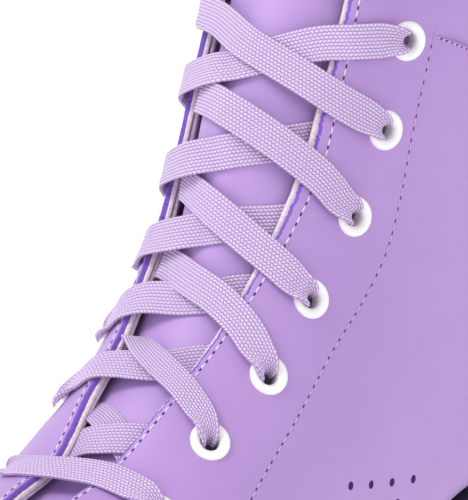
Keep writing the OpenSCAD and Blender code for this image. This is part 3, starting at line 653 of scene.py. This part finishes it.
def tongue_half(u):
    """Half width of the tongue, with its two top corners rounded off."""
    corner = np.clip((u - 17.18) / 0.275, 0, 1)
    return np.interp(u, [5.5, 8, 11, 15, 18], [17, 22, 24.5, 26, 30]) - 13 * (1 - np.sqrt(1 - corner ** 2))


def tongue():
    us = np.concatenate([np.linspace(THROAT + 0.2, 17.36, 190), 17.45 - np.array([0.05, 0.025, 0.01, 0])])
    edge = angle_at(us, tongue_half(us))
    u, a = side_grid(us, -edge, edge, FINE, FINE, 60)
    p = skin(u, a)
    top = -TONGUE_DEPTH + 0.22 * ripple(p, 60, 21) + 0.05 * ripple(p, 17, 22)
    top[:, :4] += np.array([-0.9, -0.35, -0.1, 0])
    top[:, -4:] += np.array([0, -0.1, -0.35, -0.9])
    top[-4:] -= np.array([0.05, 0.2, 0.5, 0.9])[:, None]
    face = shell("tongue_face", u, a, top, -TONGUE_DEPTH - 1.9, TONGUE_LEATHER, body="tongue")
    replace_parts(face, "tongue")
    edge = angle_at(us, tongue_half(us) - 1.6)
    u, a = side_grid(us, -edge, edge, FINE, FINE, 40)
    p = skin(u, a)
    swell = 1 - (np.abs(a) / edge[:, None]) ** 4
    low = -TONGUE_DEPTH - 2.2 - 3.0 * np.clip(swell, 0, 1) ** 0.5 + 0.25 * ripple(p, 12, 31)
    pad = shell("tongue_pad", u, a, np.full(u.shape, -TONGUE_DEPTH - 1.95), low, LINING, body="tongue")
    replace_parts(pad, "tongue_padding")


tongue()

# ---------------------------------------------------------------- stitching
def line_points(us, angles, height, step=0.25):
    """Evenly spaced points along a line on the boot, with normals and distances."""
    us, angles = np.asarray(us, float), np.asarray(angles, float)
    k = np.linspace(0, len(us) - 1, 60 * len(us))
    uu = np.interp(k, np.arange(len(us)), us)
    aa = np.interp(k, np.arange(len(us)), angles)
    p = skin(uu, aa)
    s = np.concatenate([[0], np.cumsum(np.linalg.norm(np.diff(p, axis=0), axis=1))])
    t = np.arange(0, s[-1], step)
    uu, aa = np.interp(t, s, uu), np.interp(t, s, aa)
    h = hand_of(uu, aa) + height
    return on_boot(uu, aa, h), normal(uu, aa), t


def stitches(name, us, angles, pitch=2.75, dash=0.66,
             height=0.10, width=0.44, hole=0.28, slant=0.0, thread=THREAD):
    """Lockstitch along a line: thread from hole to hole, and at each needle hole a dark capsule of painted
    shade.
    """
    p, n, t = line_points(us, angles, height)
    threads, hole_shades = Bundle(), Bundle()
    for s in np.arange(pitch, t[-1] - pitch, pitch):
        jitter = RNG.uniform(-0.06, 0.06) * pitch

        def at(x):
            return np.array([np.interp(x, t, p[:, k]) for k in range(3)]), np.array([np.interp(x, t,
                    n[:, k]) for k in range(3)])
        a, up = at(s + jitter - pitch * dash / 2)
        b, _ = at(s + jitter + pitch * dash / 2)
        sideways = unit(np.cross(up, b - a)) * slant
        threads.add(*capsule(a - sideways, b + sideways, up, width, width * 0.8))
        # A dark capsule lies in the needle hole between the dashes: painted shade of the hole, not an
        # opening.
        if hole:
            c, up = at(s + pitch / 2 + jitter)
            d = unit(b - a)
            long = pitch * (1 - dash) * 0.5
            hole_shades.add(*capsule(c - d * long - up * 0.02, c + d * long - up * 0.02, up, hole * 1.5, 0.12, 8))
    threads.build(name + "_thread", thread)
    if hole:
        hole_shades.build(name + "_needle_hole_shades", HOLE_SHADE)


flap_us = np.linspace(5.6, 16.93, 70)
for side, word in ((1, "medial"), (-1, "lateral")):
    y = np.interp(flap_us, GAP_U, GAP_Y)
    inset = angle_at(flap_us, y + 1.35)
    stitches(word + "_flap_stitch", flap_us, side * inset)
    seam_us = np.linspace(5.45, QUARTER_TOP, 60)
    stitches(word + "_seam_stitch", seam_us, np.full(60, side * SEAM_DEG), height=0.0, width=0.4,
             hole=0.2, thread=SEAM_THREAD)
    top_angles = side * np.linspace(SEAM_DEG - 0.2, BACKSTAY_DEG - 1.5, 40)
    stitches(word + "_quarter_stitch", np.full(40, QUARTER_TOP - 0.03), top_angles, pitch=1.6, dash=0.66,
             height=0.30, width=0.5, hole=0.3, slant=0.16, thread=SEAM_THREAD)
    stitches(word + "_vamp_stitch", np.full(60, THROAT - 0.08), side * np.linspace(4, 172, 60), height=0.5)
    stitches(word + "_collar_stitch", np.full(40, COLLAR - 0.07),
             side * np.linspace(SEAM_DEG - 25, BACKSTAY_DEG - 2, 40))
    back_us = np.linspace(12.6, COLLAR - 0.05, 40)
    stitches(word + "_backstay_stitch", back_us, side * (quarter_back(back_us) + 3.4), height=0.5)

# Breathing perforations over the arch, each drawn as a thin dark disc of painted shade rather than an
# opening, in two even rows that slant down with the sole.
# Each row is its first section, its first drop below the widest line in millimetres, its drop per hole and
# count.
PERFORATION_ROWS = [(8.97, -3.0, 5.8, 4), (8.89, 2.2, 6.2, 3)]
PERFORATION_PITCH = 0.22


def dropped(u, drop):
    """Angle of the point that lies a drop, in millimetres, below the boot's widest line."""
    s = section(u)
    reach = math.dist(s[0:2], s[2:4])
    share = abs(drop) / (reach * (s[5] if drop > 0 else 1 - s[5]))
    return 90 + math.copysign(math.degrees(math.asin(share ** (s[7 if drop > 0 else 6] / 2))), drop)


PERFORATIONS = [(u + PERFORATION_PITCH * k, dropped(u + PERFORATION_PITCH * k, drop + step * k))
                for u, drop, step, count in PERFORATION_ROWS for k in range(count)]
for side, word in ((1, "medial"), (-1, "lateral")):
    shade_discs = Bundle()
    for u, a in PERFORATIONS:
        centre, up = on_boot(u, side * a, float(hand_of(u, side * a))), normal(u, side * a)
        # A thin dark disc on the leather: painted shade of the punched hole.
        shade_discs.add(*lathe([(0.0, 0.03), (0.75, 0.04), (0.95, 0.05), (1.02, 0.0)], centre, up, 20))
    shade_discs.build(word + "_perforation_shades", HOLE_SHADE)

# ---------------------------------------------------------------- eyelets and hooks
EYELET_PROFILE = [(2.30, -3.4), (2.22, -1.4), (2.22, -0.5), (2.34, 0.0), (2.62, 0.36), (3.0, 0.62),
                  (3.4, 0.76),
                  (3.8, 0.78), (4.15, 0.68), (4.45, 0.45), (4.66, 0.16), (4.74, -0.12), (4.6, -0.3), (3.2,
                          -0.36)]
EYELET_BACK = [(2.3, -3.3), (3.5, -3.22), (3.85, -2.98), (3.6, -2.86), (2.5, -2.86)]


def eyelets(side, word):
    ring = Bundle()
    for u, a in EYELETS:
        centre, up = on_boot(u, side * a, float(hand_of(u, side * a)) + 0.22), normal(u, side * a)
        ring.add(*lathe(EYELET_PROFILE, centre, up, 56))
        ring.add(*lathe(EYELET_BACK, centre, up, 40))
    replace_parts(ring.build(word + "_eyelet_rings", ENAMEL), word + "_eyelets")


def dress(node, material, bevel, body="boot", angle=35, name=None):
    """A CAD node with its edges eased and its own finish."""
    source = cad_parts[node]
    mesh = source.data.copy()
    bm = bmesh.new()
    bm.from_mesh(mesh)
    bmesh.ops.remove_doubles(bm, verts=bm.verts, dist=1e-6)
    bmesh.ops.dissolve_limit(bm, angle_limit=math.radians(1.5), verts=bm.verts, edges=bm.edges)
    bm.to_mesh(mesh)
    bm.free()
    mesh.materials.clear()
    mesh.materials.append(material)
    obj = bpy.data.objects.new(name or node + "_finish", mesh)
    bpy.context.scene.collection.objects.link(obj)
    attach(obj, body)
    mod = obj.modifiers.new("ease", "BEVEL")
    mod.width, mod.segments, mod.limit_method, mod.angle_limit = bevel * MM, 2, "ANGLE", math.radians(angle)
    mod.harden_normals = False
    mesh.shade_smooth()
    mesh.set_sharp_from_angle(angle=math.radians(angle))
    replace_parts(obj, node)
    return obj


for side, word in ((1, "medial"), (-1, "lateral")):
    eyelets(side, word)
    dress(word + "_hooks", ENAMEL, 0.28)

# ---------------------------------------------------------------- laces
LACE_W, LACE_T, RIBS = 8.3, 1.25, 10


def spline(points, step):
    """Even points along a smooth curve through the given ones, and the curve's parameter there."""
    p = np.asarray(points, float)
    pad = np.vstack([2 * p[0] - p[1], p, 2 * p[-1] - p[-2]])
    k = np.linspace(0, len(p) - 1, 40 * len(p))
    i = np.minimum(k.astype(int), len(p) - 2)
    q = blend4(pad[i], pad[i + 1], pad[i + 2], pad[i + 3], (k - i)[:, None])
    s = np.concatenate([[0], np.cumsum(np.linalg.norm(np.diff(q, axis=0), axis=1))])
    t = np.linspace(0, s[-1], max(int(s[-1] / step), 8))
    return np.stack([np.interp(t, s, q[:, c]) for c in range(3)], 1), np.interp(t, s, k), t


def ribbon(points, normals, curl_ends=(True, True), width=LACE_W, step=0.45, roll=None):
    """A flat braid along points. Where it enters an eyelet its edges curl up round the hole."""
    line, k, t = spline(points, step)
    face = np.stack([np.interp(k, np.arange(len(normals)), np.asarray(normals)[:, c]) for c in range(3)], 1)
    tangent = unit(np.gradient(line, axis=0))
    flat = np.abs((unit(face) * tangent).sum(1)) < 0.82
    up = unit(face - (face * tangent).sum(1)[:, None] * tangent)
    ok = np.nonzero(flat)[0]
    for i in range(ok[0] - 1, -1, -1):
        up[i] = unit(up[i + 1] - (up[i + 1] @ tangent[i]) * tangent[i])
    for i in range(ok[-1] + 1, len(line)):
        up[i] = unit(up[i - 1] - (up[i - 1] @ tangent[i]) * tangent[i])
    if roll is not None:
        angle = np.radians(np.interp(k, np.arange(len(normals)), roll))[:, None]
        up = up * np.cos(angle) + np.cross(tangent, up) * np.sin(angle)
    side = np.cross(tangent, up)
    curl = np.full(len(t), 0.10)
    width = np.full(len(t), width)
    for curls, distance in zip(curl_ends, (t, t[-1] - t)):
        if curls:
            near_end = np.clip(1 - (distance - 2.5) / 9.0, 0, 1)
            curl = np.maximum(curl, 2.0 * near_end ** 1.4)
            width = width * (1 - 0.2 * near_end)
    per = 4
    v_top = np.linspace(-1, 1, RIBS * per + 1)
    v_low = np.linspace(1, -1, RIBS * 2 + 1)[1:-1]
    v = np.concatenate([v_top, v_low])
    top = np.concatenate([np.ones(len(v_top), bool), np.zeros(len(v_low), bool)])
    rib = np.abs(np.sin(np.pi * (v + 1) / 2 * RIBS))
    swell = np.sqrt(np.clip(1 - np.abs(v) ** 8, 0, 1))
    thick = np.where(top, 1, -1) * (LACE_T / 2 * 0.72 * swell + LACE_T * 0.14 * rib * swell)
    radius = width / 2 / curl
    ang = v[None] * curl[:, None]
    tooth = 1 + 0.022 * np.cos(2 * np.pi * t / CELL)[:, None] * (np.abs(v) > 0.97)[None]
    across = (radius[:, None] + 0) * np.sin(ang) * tooth
    lift = radius[:, None] * (1 - np.cos(ang)) - (radius * (1 - np.sin(curl) / curl))[:, None]
    nx, ny = -np.sin(ang), np.cos(ang)
    across = across + nx * thick[None]
    lift = lift + ny * thick[None]
    rings = line[:, None] + across[..., None] * side[:, None] + lift[..., None] * up[:, None]
    count = len(v)
    faces = []
    n = len(t)
    for i in range(n - 1):
        for j in range(count):
            j2 = (j + 1) % count
            faces.append([i * count + j, i * count + j2, (i + 1) * count + j2, (i + 1) * count + j])
    faces += [list(range(count))[::-1], [(n - 1) * count + j for j in range(count)]]
    uv = np.stack([np.repeat(t, count), np.tile((v + 1) / 2 * RIBS * 0.999, n)], 1)
    return rings.reshape(-1, 3), faces, uv, line


def boot_path(route):
    """Points and face normals of a route of (section, angle, height)."""
    r = np.asarray(route, float)
    return on_boot(r[:, 0], r[:, 1], r[:, 2]), normal(r[:, 0], r[:, 1])


# A strand rises against one side of its eyelet: distances from the eyelet's middle, and heights
EYELET_ENTRY = [(0.4, -3.4), (0.6, -1.2), (1.5, 0.7), (3.5, 1.5)]
OUTER_PRESS = 0.7


def out_of_eyelet(eyelet, side, toward):
    """Points and normals of a strand that comes up through an eyelet and leaves toward a point."""
    u, a = eyelet
    centre, up = skin(u, side * a), normal(u, side * a)
    lead = toward - centre
    lead = unit(lead - (lead @ up) * up)
    press = 1 if side > 0 else OUTER_PRESS
    return [centre + lead * out + up * h * press for out, h in EYELET_ENTRY], [up] * len(EYELET_ENTRY)


LACES = {
    "strand_bar": [(6.85, 30.5, 1.7), (6.86, 24, 1.5), (6.84, 12, 0.6), (6.8, 0, -0.3), (6.72, -9, 0.3),
                   (6.7, -16, 0.9), (6.74, -23, 1.1), (6.82, -30.5, 1.7)],
    "strand_a6": [(8.1, 35, 1.7), (8.24, 30, 1.3), (8.42, 20, 1.0), (8.6, 8, -0.4), (8.78, -3, -1.5),
                  (8.94, -12, -3.1),
                  (9.06, -21, -4.0), (9.2, -43.5, -4.0)],
    "strand_a5": [(9.26, 41.5, 1.7), (9.36, 37, 1.3), (9.58, 29, 0.9), (9.78, 18, -1.0), (9.93, 3, -2.9),
                  (10.18, -16, -3.6), (10.32, -27, -4.0), (10.5, -45.5, -4.0)],
    "strand_a4": [(10.53, 44, 1.7), (10.55, 40, 1.3), (10.68, 33, 0.9), (10.9, 21, -1.3), (11.18, 3, -2.9),
                  (11.56, -18, -3.6), (11.8, -30, -4.0), (12.25, -48.5, -4.0)],
    "strand_a3": [(12.27, 47, 1.7), (12.34, 43.5, 1.3), (12.56, 37, 1.0), (12.8, 24, -1.3), (13.08, 2, -2.9),
                  (13.4, -20, -3.6), (13.6, -33, -4.0), (13.9, -51.3, -4.0)],
    "strand_a2": [(13.91, 49.5, 1.7), (13.94, 46, 1.3), (13.99, 38, 1.1), (14.14, 28, -0.8), (14.5, 4, -3.0),
                  (14.8, -17, -1.8), (14.95, -32, 1.4), (15.06, -44, 1.5), (15.1, -49.5, 1.7)],
    "strand_b5": [(8.14, -35, 0.9), (8.3, -28, 0.8), (8.44, -20, 0.8), (8.54, -11, -1.5), (8.66, 4, -3.7),
                  (8.93, 19, -4.4), (9.05, 28, -4.1), (9.2, 43.5, -4.0)],
    "strand_b4": [(9.24, -41.5, 0.9), (9.36, -34, 0.9), (9.47, -25, 0.9), (9.56, -15, -0.9), (9.64, 0, -4.4),
                  (9.83, 15, -4.5), (10.17, 29, -4.2), (10.5, 45.5, -4.0)],
    "strand_b3": [(10.48, -43.5, 1.7), (10.5, -36, 1.3), (10.56, -26, 1.0), (10.62, -12, -1.3),
                  (10.76, 0, -4.4), (10.98, 14, -4.5), (11.5, 33, -4.2), (12.25, 48.5, -4.0)],
    "strand_b2": [(12.19, -46.5, 1.7), (12.06, -40, 1.3), (12.0, -30, 1.1), (11.98, -13, -1.0),
                  (12.1, 0, -4.4), (12.3, 12, -4.5), (12.86, 29, -4.4), (13.9, 51.3, -4.0)],
    "strand_b1": [(13.87, -49.5, 1.7), (13.84, -42, 1.3), (13.83, -32, 1.1), (13.9, -12, -1.8),
                  (14.1, 0, -4.2), (14.43, 15, -4.5), (14.72, 28, -1.5), (14.88, 37, 1.2), (15.04, 46,
                          1.3), (15.09, 49.5, 1.7)],
    "strand_c1": [(6.85, -32.5, -4.0), (7.1, -22, -3.9), (7.36, -10, -3.1), (7.46, 0, -2.9),
                  (7.62, 12, -3.8), (8.05, 37, -4.0)],
    "strand_c2": [(6.85, 32.5, -4.0), (7.3, 16, -4.4), (7.58, 3, -4.4), (7.84, -11, -4.2), (8.0, -24, -4.0),
                  (8.05, -37, -4.0)],
}
OUTSIDE_STARTS = {"strand_bar": (0, 1), "strand_a6": (1, 1), "strand_a5": (2, 1), "strand_a4": (3, 1),
                  "strand_a3": (4, 1),
                  "strand_a2": (5, 1), "strand_b5": (1, -1), "strand_b4": (2, -1), "strand_b3": (3, -1),
                  "strand_b2": (4, -1), "strand_b1": (5, -1)}
OUTSIDE_ENDS = {"strand_bar": (0, -1), "strand_a2": (6, -1), "strand_b1": (6, 1)}

# Strands pulled narrow under the outer flap: width, and how far they turn on edge there
NARROWED = {"strand_a6": (6.8, 68), "strand_c2": (7.0, 30)}

for name, route in LACES.items():
    start, end = name in OUTSIDE_STARTS, name in OUTSIDE_ENDS
    p, n = (list(v) for v in boot_path(route))
    if start:
        k, side = OUTSIDE_STARTS[name]
        points, normals = out_of_eyelet(EYELETS[k], side, p[1])
        p, n = points + p[1:], normals + n[1:]
    if end:
        k, side = OUTSIDE_ENDS[name]
        points, normals = out_of_eyelet(EYELETS[k], side, p[-2])
        p, n = p[:-1] + points[::-1], n[:-1] + normals
    width, turn = NARROWED.get(name, (LACE_W, 0))
    roll = np.interp(np.arange(len(p)), [len(p) - 5, len(p) - 2], [0, turn])
    points, faces, uv, _ = ribbon(p, n, (start, end), width, roll=roll)
    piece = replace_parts(add_mesh(name, points, faces, LACE, uv=uv), "lace")

# Rounds and hooks above the rows of eyelets, up to the knot at the collar
HOOK_H = 3.0
LOW_US = (15.75, 15.85, 15.95, 15.98, 16.0, 16.1, 16.2)
HIGH_US = (16.2, 16.29, 16.38, 16.41, 16.44, 16.53, 16.62)


def crossing(us, start, end, side, dip):
    """A strand from a hook to the one opposite and above it, dipping by dip to pass under its twin."""
    angles = (start, 36, 14, 0, -14, -36, -end)
    heights = (HOOK_H, 1.8, -1.8 - dip, -2.9 - dip, -1.8 - dip, 1.8, HOOK_H)
    return [(u, side * a, h) for u, a, h in zip(us, angles, heights)]


RISERS = {
    "riser_medial": [
        (15.1, 51.3, -4.0), (15.3, 46, -4.2), (15.5, 38, -4.2), (15.58, 26, -4.1), (15.61, 0, -3.1),
        (15.63, -24, 1.2), (15.66, -36, 1.8), (15.75, -50, HOOK_H)],
    "riser_lateral": [
        (15.1, -51.3, -4.0), (15.3, -46, -4.2), (15.5, -38, -4.2), (15.58, -26, -4.1), (15.61, 0, -4.3),
        (15.63, 24, 1.2), (15.66, 36, 1.8), (15.75, 50, HOOK_H)],
    "cross_low_a": crossing(LOW_US, 50, 49, 1, 0),
    "cross_low_b": crossing(LOW_US, 50, 49, -1, 1.3),
    "cross_high_a": crossing(HIGH_US, 49, 48, 1, 0),
    "cross_high_b": crossing(HIGH_US, 49, 48, -1, 1.3),
    "to_knot_medial": [(16.62, 48, HOOK_H), (16.7, 36, 2.6), (16.8, 18, 1.4), (16.84, 6, 1.2)],
    "to_knot_lateral": [(16.62, -48, HOOK_H), (16.7, -36, 2.6), (16.8, -18, 1.4), (16.84, -6, 1.2)],
}
for name, route in RISERS.items():
    p, n = boot_path(route)
    starts_at_hook = not name.startswith("riser")
    points, faces, uv, _ = ribbon(p, n, (starts_at_hook, "knot" not in name))
    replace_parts(add_mesh(name, points, faces, LACE, uv=uv), "lace")

# ---------------------------------------------------------------- knot, loops and tails
KNOT_U, KNOT_H = 16.86, 3.2


def knot():
    """The middle of the bow: the lace goes twice round both loops."""
    centre, out = on_boot(KNOT_U, 0.0, KNOT_H), normal(KNOT_U, 0.0)
    up = unit(np.cross(out, [0, 1, 0]))
    up = up if up[2] > 0 else -up
    t = np.linspace(0.3, 2 * np.pi + 0.2, 15)
    for k, (y, r, tilt) in enumerate([(0.0, 4.0, 0.10), (0.4, 5.0, -0.12)]):
        path = [centre + out * r * 0.86 * math.cos(x) + up * r * math.sin(x)
                + np.array([0, y + tilt * 6 * (x / 6.28 - 0.5), 0]) for x in t]
        face = [out * math.cos(x) + up * math.sin(x) for x in t]
        points, faces, uv, _ = ribbon(path, face, (False, False), width=8.6 - 1.4 * k)
        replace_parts(add_mesh(f"knot_turn_{k + 1}", points, faces, LACE, uv=uv), "lace_knot")


LOOP = [(16.86, 9, 3.5), (16.75, 24, 10), (16.4, 38, 13), (16.0, 46, 12), (15.95, 40, 9), (16.3, 30, 9),
        (16.74, 12, 7)]
LONG_TAIL = [(16.78, -9, 3), (16.72, -26, 9), (16.45, -50, 9), (16.0, -72, 6), (15.2, -84, 4),
             (14.2, -90, 3.5), (13.1, -94, 3.5)]
SHORT_TAIL = [(16.9, -10, 5.6), (16.9, -28, 12), (16.66, -56, 12), (16.2, -84, 7), (15.4, -98, 4.5),
              (14.5, -104, 3.5), (13.6, -108, 3.5)]
AGLET_L = 20.0


def free_lace(name, route):
    p, n = boot_path(route)
    points, faces, uv, line = ribbon(p, n, (False, False))
    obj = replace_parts(add_mesh(name + "_lace", points, faces, LACE, uv=uv), name)


def aglet(name, route):
    """The lace's end, rolled tight in clear film, with a pinched seam."""
    p, _ = boot_path(route)
    d = unit(p[-1] - p[-2])
    profile = [(0.0, 0.2), (1.2, 0.0), (1.62, 0.5), (1.68, 2.0), (1.6, 4.0), (1.66, 10), (1.6, 17),
               (1.62, AGLET_L - 0.6),
               (1.3, AGLET_L), (0.0, AGLET_L - 0.3)]
    points, faces = lathe(profile, p[-1] + d * 0.3, d, 28)
    return add_mesh(name, points, faces, AGLET)


def bow():
    free_lace("medial_loop", LOOP)
    free_lace("lateral_loop", [(u - 0.02, -a * 0.96, h + 4.5) for u, a, h in LOOP])
    tips = [aglet("long_tail_aglet", LONG_TAIL), aglet("short_tail_aglet", SHORT_TAIL)]
    for tip in tips:
        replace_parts(tip, "aglets")
    free_lace("long_tail", LONG_TAIL)
    free_lace("short_tail", SHORT_TAIL)


knot()
bow()

# ---------------------------------------------------------------- inside of the boot
LINING_IN = -3.2


def bed(name, high, low, spread_low, material, node, drop=0.35):
    us = np.concatenate([[1.25, 1.27], np.linspace(1.32, 11.92, 120), [11.95, 11.963]])
    side = np.interp(us, [1.3, 5, 7, 11, 12], [33.5, 33.5, 24, 24, 28]) - spread_low
    u, a = side_grid(us, 180 - side, 180 + side, [0, 0.1, 0.35, 0.8], [0, 0.1, 0.35, 0.8], 40)
    top = np.full(u.shape, high)
    bottom = np.full(u.shape, low)
    bottom[:, :3] += drop * np.array([1.0, 0.4, 0.1])
    bottom[:, -3:] += drop * np.array([0.1, 0.4, 1.0])
    piece = shell(name, u, a, top, bottom, material)
    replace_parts(piece, node)


bed("insole_board_sheet", LINING_IN - 0.4, LINING_IN - 2.4, 0.0, BOARD, "insole_board", 0.1)
bed("footbed_pad", LINING_IN - 2.6, LINING_IN - 5.6, 0.6, FOOTBED, "footbed", 0.9)


def collar_roll():
    """Foam under a soft cloth round the inside of the collar, fullest in the middle of its height."""
    us = np.linspace(16.27, 16.94, 40)
    start = np.full_like(us, 66.0)
    u, a = side_grid(us, start, 360 - start, [0, 0.3, 1.0, 2.4], [0, 0.3, 1.0, 2.4], 120)
    k = (us - us[0]) / (us[-1] - us[0])
    swell = (np.clip(4 * k * (1 - k), 0, 1) ** 0.35)[:, None] * np.ones(u.shape)
    swell[:, :4] *= np.array([0.25, 0.55, 0.8, 0.95])
    swell[:, -4:] *= np.array([0.95, 0.8, 0.55, 0.25])
    channel = 0.3 * np.abs(np.sin(k * np.pi * 2.0))[:, None]
    low = LINING_IN - 0.5 - 4.0 * swell - channel * swell + 0.12 * ripple(skin(u, a), 14, 41)
    pad = shell("collar_pad", u, a, np.full(u.shape, LINING_IN - 0.2), low, LINING)
    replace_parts(pad, "collar_padding")


collar_roll()

# ---------------------------------------------------------------- sole and heel
OUTSOLE_T, WELT, LIFT_T, MOUNT_Z = 8.0, 1.5, 6.0, 50.0
TOE_SPRING_Z, WAIST_X, HEEL_U = 66.0, 26.0, 9.62


def under(u):
    s = section(u)
    k = np.sin(np.clip(u - 11, 0, 1) * np.pi / 2)
    z = np.where(u < 3, np.minimum(s[..., 3], TOE_SPRING_Z), s[..., 3])
    return (np.where(u <= 11, s[..., 2], -94 - 35 * k), np.where(u <= 11, s[..., 8], 0.0),
            np.where(u <= 11, z, 94.5 + 2.5 * k))


def under_w(u):
    k = np.sin(np.clip(u - 11, 0, 1) * np.pi / 2)
    return np.where(u <= 11, section(u)[..., 4] * 0.95, 32.3 * np.clip(1 - k ** 2.4, 0, 1) ** (1 / 2.4))


def sole_bottom(u):
    x, _, z = under(u)
    return np.where(x > WAIST_X, np.maximum(MOUNT_Z, z - OUTSOLE_T - 2),
                    np.minimum(z - OUTSOLE_T, MOUNT_Z + (WAIST_X - x) * 0.42))


def sole_layer(name, us, top, bottom, inset, material, node, round_by=0.8, taper=0.0, waist=0.0):
    """A layer of the sole between heights top and bottom, its edge rounded and drawn in between."""
    x, y, _ = under(us)
    w = np.maximum(under_w(us) + WELT - inset, 0.9)
    lead = np.gradient(np.stack([x, w], 1), axis=0)
    lead = lead / np.maximum(np.linalg.norm(lead, axis=1, keepdims=True), 1e-6)
    out = np.stack([lead[:, 1], -lead[:, 0]], 1)
    rows = [(-round_by * (1 - math.sin(a)), 0, round_by * (1 - math.cos(a)))
            for a in np.linspace(0, np.pi / 2, 5)]
    rows += [(-waist * math.sin(math.pi * k) - taper * k, k, 0) for k in np.linspace(0.08, 0.92, 9)]
    rows += [(-taper - round_by * (1 - math.cos(a)), 1, -round_by * (1 - math.sin(a)))
             for a in np.linspace(0, np.pi / 2, 5)]
    n = len(us)
    points = []
    for side in (1, -1):
        for inset_k, level, dz in rows:
            xs = x + out[:, 0] * inset_k
            ws = np.maximum(w + out[:, 1] * inset_k, 0.2)
            if level == 0:
                z = top - dz
            elif level == 1:
                z = bottom - dz
            else:
                z = top + (bottom - top) * level
            points.append(np.stack([xs, y + side * ws, z], 1))
    m = len(rows)
    grid = np.array(points)
    ring = np.concatenate([grid[:m], grid[m:][::-1]])
    faces = []
    total = 2 * m
    for i in range(n - 1):
        for j in range(total):
            j2 = (j + 1) % total
            a, b = j * n + i, j2 * n + i
            faces.append([a, b, b + 1, a + 1])
    faces.append([j * n for j in range(total)][::-1])
    faces.append([j * n + n - 1 for j in range(total)])
    piece = add_mesh(name, ring.reshape(-1, 3), faces, material, sharp=50)
    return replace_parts(piece, node)


ARC = 11 + np.sin(np.linspace(0, 1, 30) * np.pi / 2) * 0.985
sole_us = np.concatenate([0.35 + 0.65 * np.linspace(0, 1, 14) ** 1.5, np.linspace(1.05, 10.98, 150), ARC])
sole_layer("outsole_leather", sole_us, under(sole_us)[2] - 0.25, sole_bottom(sole_us), 0.0, SOLE, "outsole",
           0.9)
heel_us = sole_us[sole_us > HEEL_U]
sole_layer("heel_stack", heel_us, under(heel_us)[2] - OUTSOLE_T - 0.3,
           np.full(len(heel_us), MOUNT_Z + LIFT_T), 0.8, STACK,
           "heel_block", 0.4, taper=1.0, waist=0.9)
sole_layer("heel_top_piece", heel_us, np.full(len(heel_us), MOUNT_Z + LIFT_T - 0.1),
           np.full(len(heel_us), MOUNT_Z), 1.8, RUBBER,
           "heel_lift", 0.6)

# ---------------------------------------------------------------- blade
dress("sole_plate", CHROME, 0.5)
dress("heel_plate", CHROME, 0.5)
dress("front_stanchion", CHROME, 0.7)
dress("rear_stanchion", CHROME, 0.7)
dress("runner", RUNNER, 0.22, angle=50)
for node, slot_name in (("sole_screws", "screw_steel"), ("heel_screws", "screw_steel")):
    dress(node, STEEL, 0.3)
for node, material in (("toe_puff", BOARD), ("heel_counter", BOARD), ("shank", STEEL)):
    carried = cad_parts[node]
    carried.data.materials.clear()
    carried.data.materials.append(material)

# ---------------------------------------------------------------- stage, camera and light
def camera():
    azimuth, elevation, distance = math.radians(38), math.radians(14), 0.9
    target = Vector((-0.0111, 0.0006, 0.1598))
    view = Vector((math.cos(elevation) * math.cos(azimuth), math.cos(elevation) * math.sin(azimuth),
                   math.sin(elevation)))
    data = bpy.data.cameras.new("camera")
    data.sensor_width, data.lens = 36, 278.6
    data.clip_start, data.clip_end = 0.05, 20
    cam = bpy.data.objects.new("camera", data)
    cam.location = target + view * distance
    cam.rotation_euler = (-view).to_track_quat("-Z", "Y").to_euler()
    bpy.context.scene.collection.objects.link(cam)
    bpy.context.scene.camera = cam


def area_light(name, place, aim, size, power):
    data = bpy.data.lights.new(name, "AREA")
    data.shape, data.size, data.energy = "DISK", size, power
    light = bpy.data.objects.new(name, data)
    light.location = place
    light.rotation_euler = (Vector(place) - Vector(aim)).to_track_quat("Z", "Y").to_euler()
    bpy.context.scene.collection.objects.link(light)


def stage():
    floor = add_floor()
    bpy.context.scene.world = studio_light()
    bpy.context.scene.view_settings.view_transform = "Standard"
    area_light("key", (0.9, -0.5, 1.5), (0, 0, 0.15), 0.8, 14)
    area_light("fill", (0.5, 1.4, 0.7), (0, 0, 0.15), 1.2, 2)


def studio_light():
    """Soft white light from all round, brightest level with the floor so that no horizon shows."""
    world = bpy.data.worlds.new("studio")
    world.use_nodes = True
    tree = world.node_tree
    direction = tree.nodes.new("ShaderNodeTexCoord").outputs["Generated"]
    height = tree.nodes.new("ShaderNodeSeparateXYZ")
    fade = tree.nodes.new("ShaderNodeMapRange")
    for key, value in (("From Min", 0.1), ("From Max", 0.6), ("To Min", 1.0), ("To Max", 0.7)):
        fade.inputs[key].default_value = value
    background = tree.nodes["Background"]
    background.inputs[0].default_value = (1, 1, 1, 1)
    tree.links.new(direction, height.inputs[0])
    tree.links.new(height.outputs[2], fade.inputs["Value"])
    tree.links.new(fade.outputs[0], background.inputs[1])
    return world


def add_floor():
    mesh = bpy.data.meshes.new("floor")
    s = 6
    mesh.from_pydata([(-s, -s, 0), (s, -s, 0), (s, s, 0), (-s, s, 0)], [], [(0, 1, 2, 3)])
    mesh.materials.append(plain("floor_paint", (0.96, 0.96, 0.96, 1), 0.8, 30.0, 0.00001, 0.01,
                                Emission_Color=(1, 1, 1, 1), Emission_Strength=0.2))
    floor = bpy.data.objects.new("floor", mesh)
    bpy.context.scene.collection.objects.link(floor)
    return floor


stage()
camera()
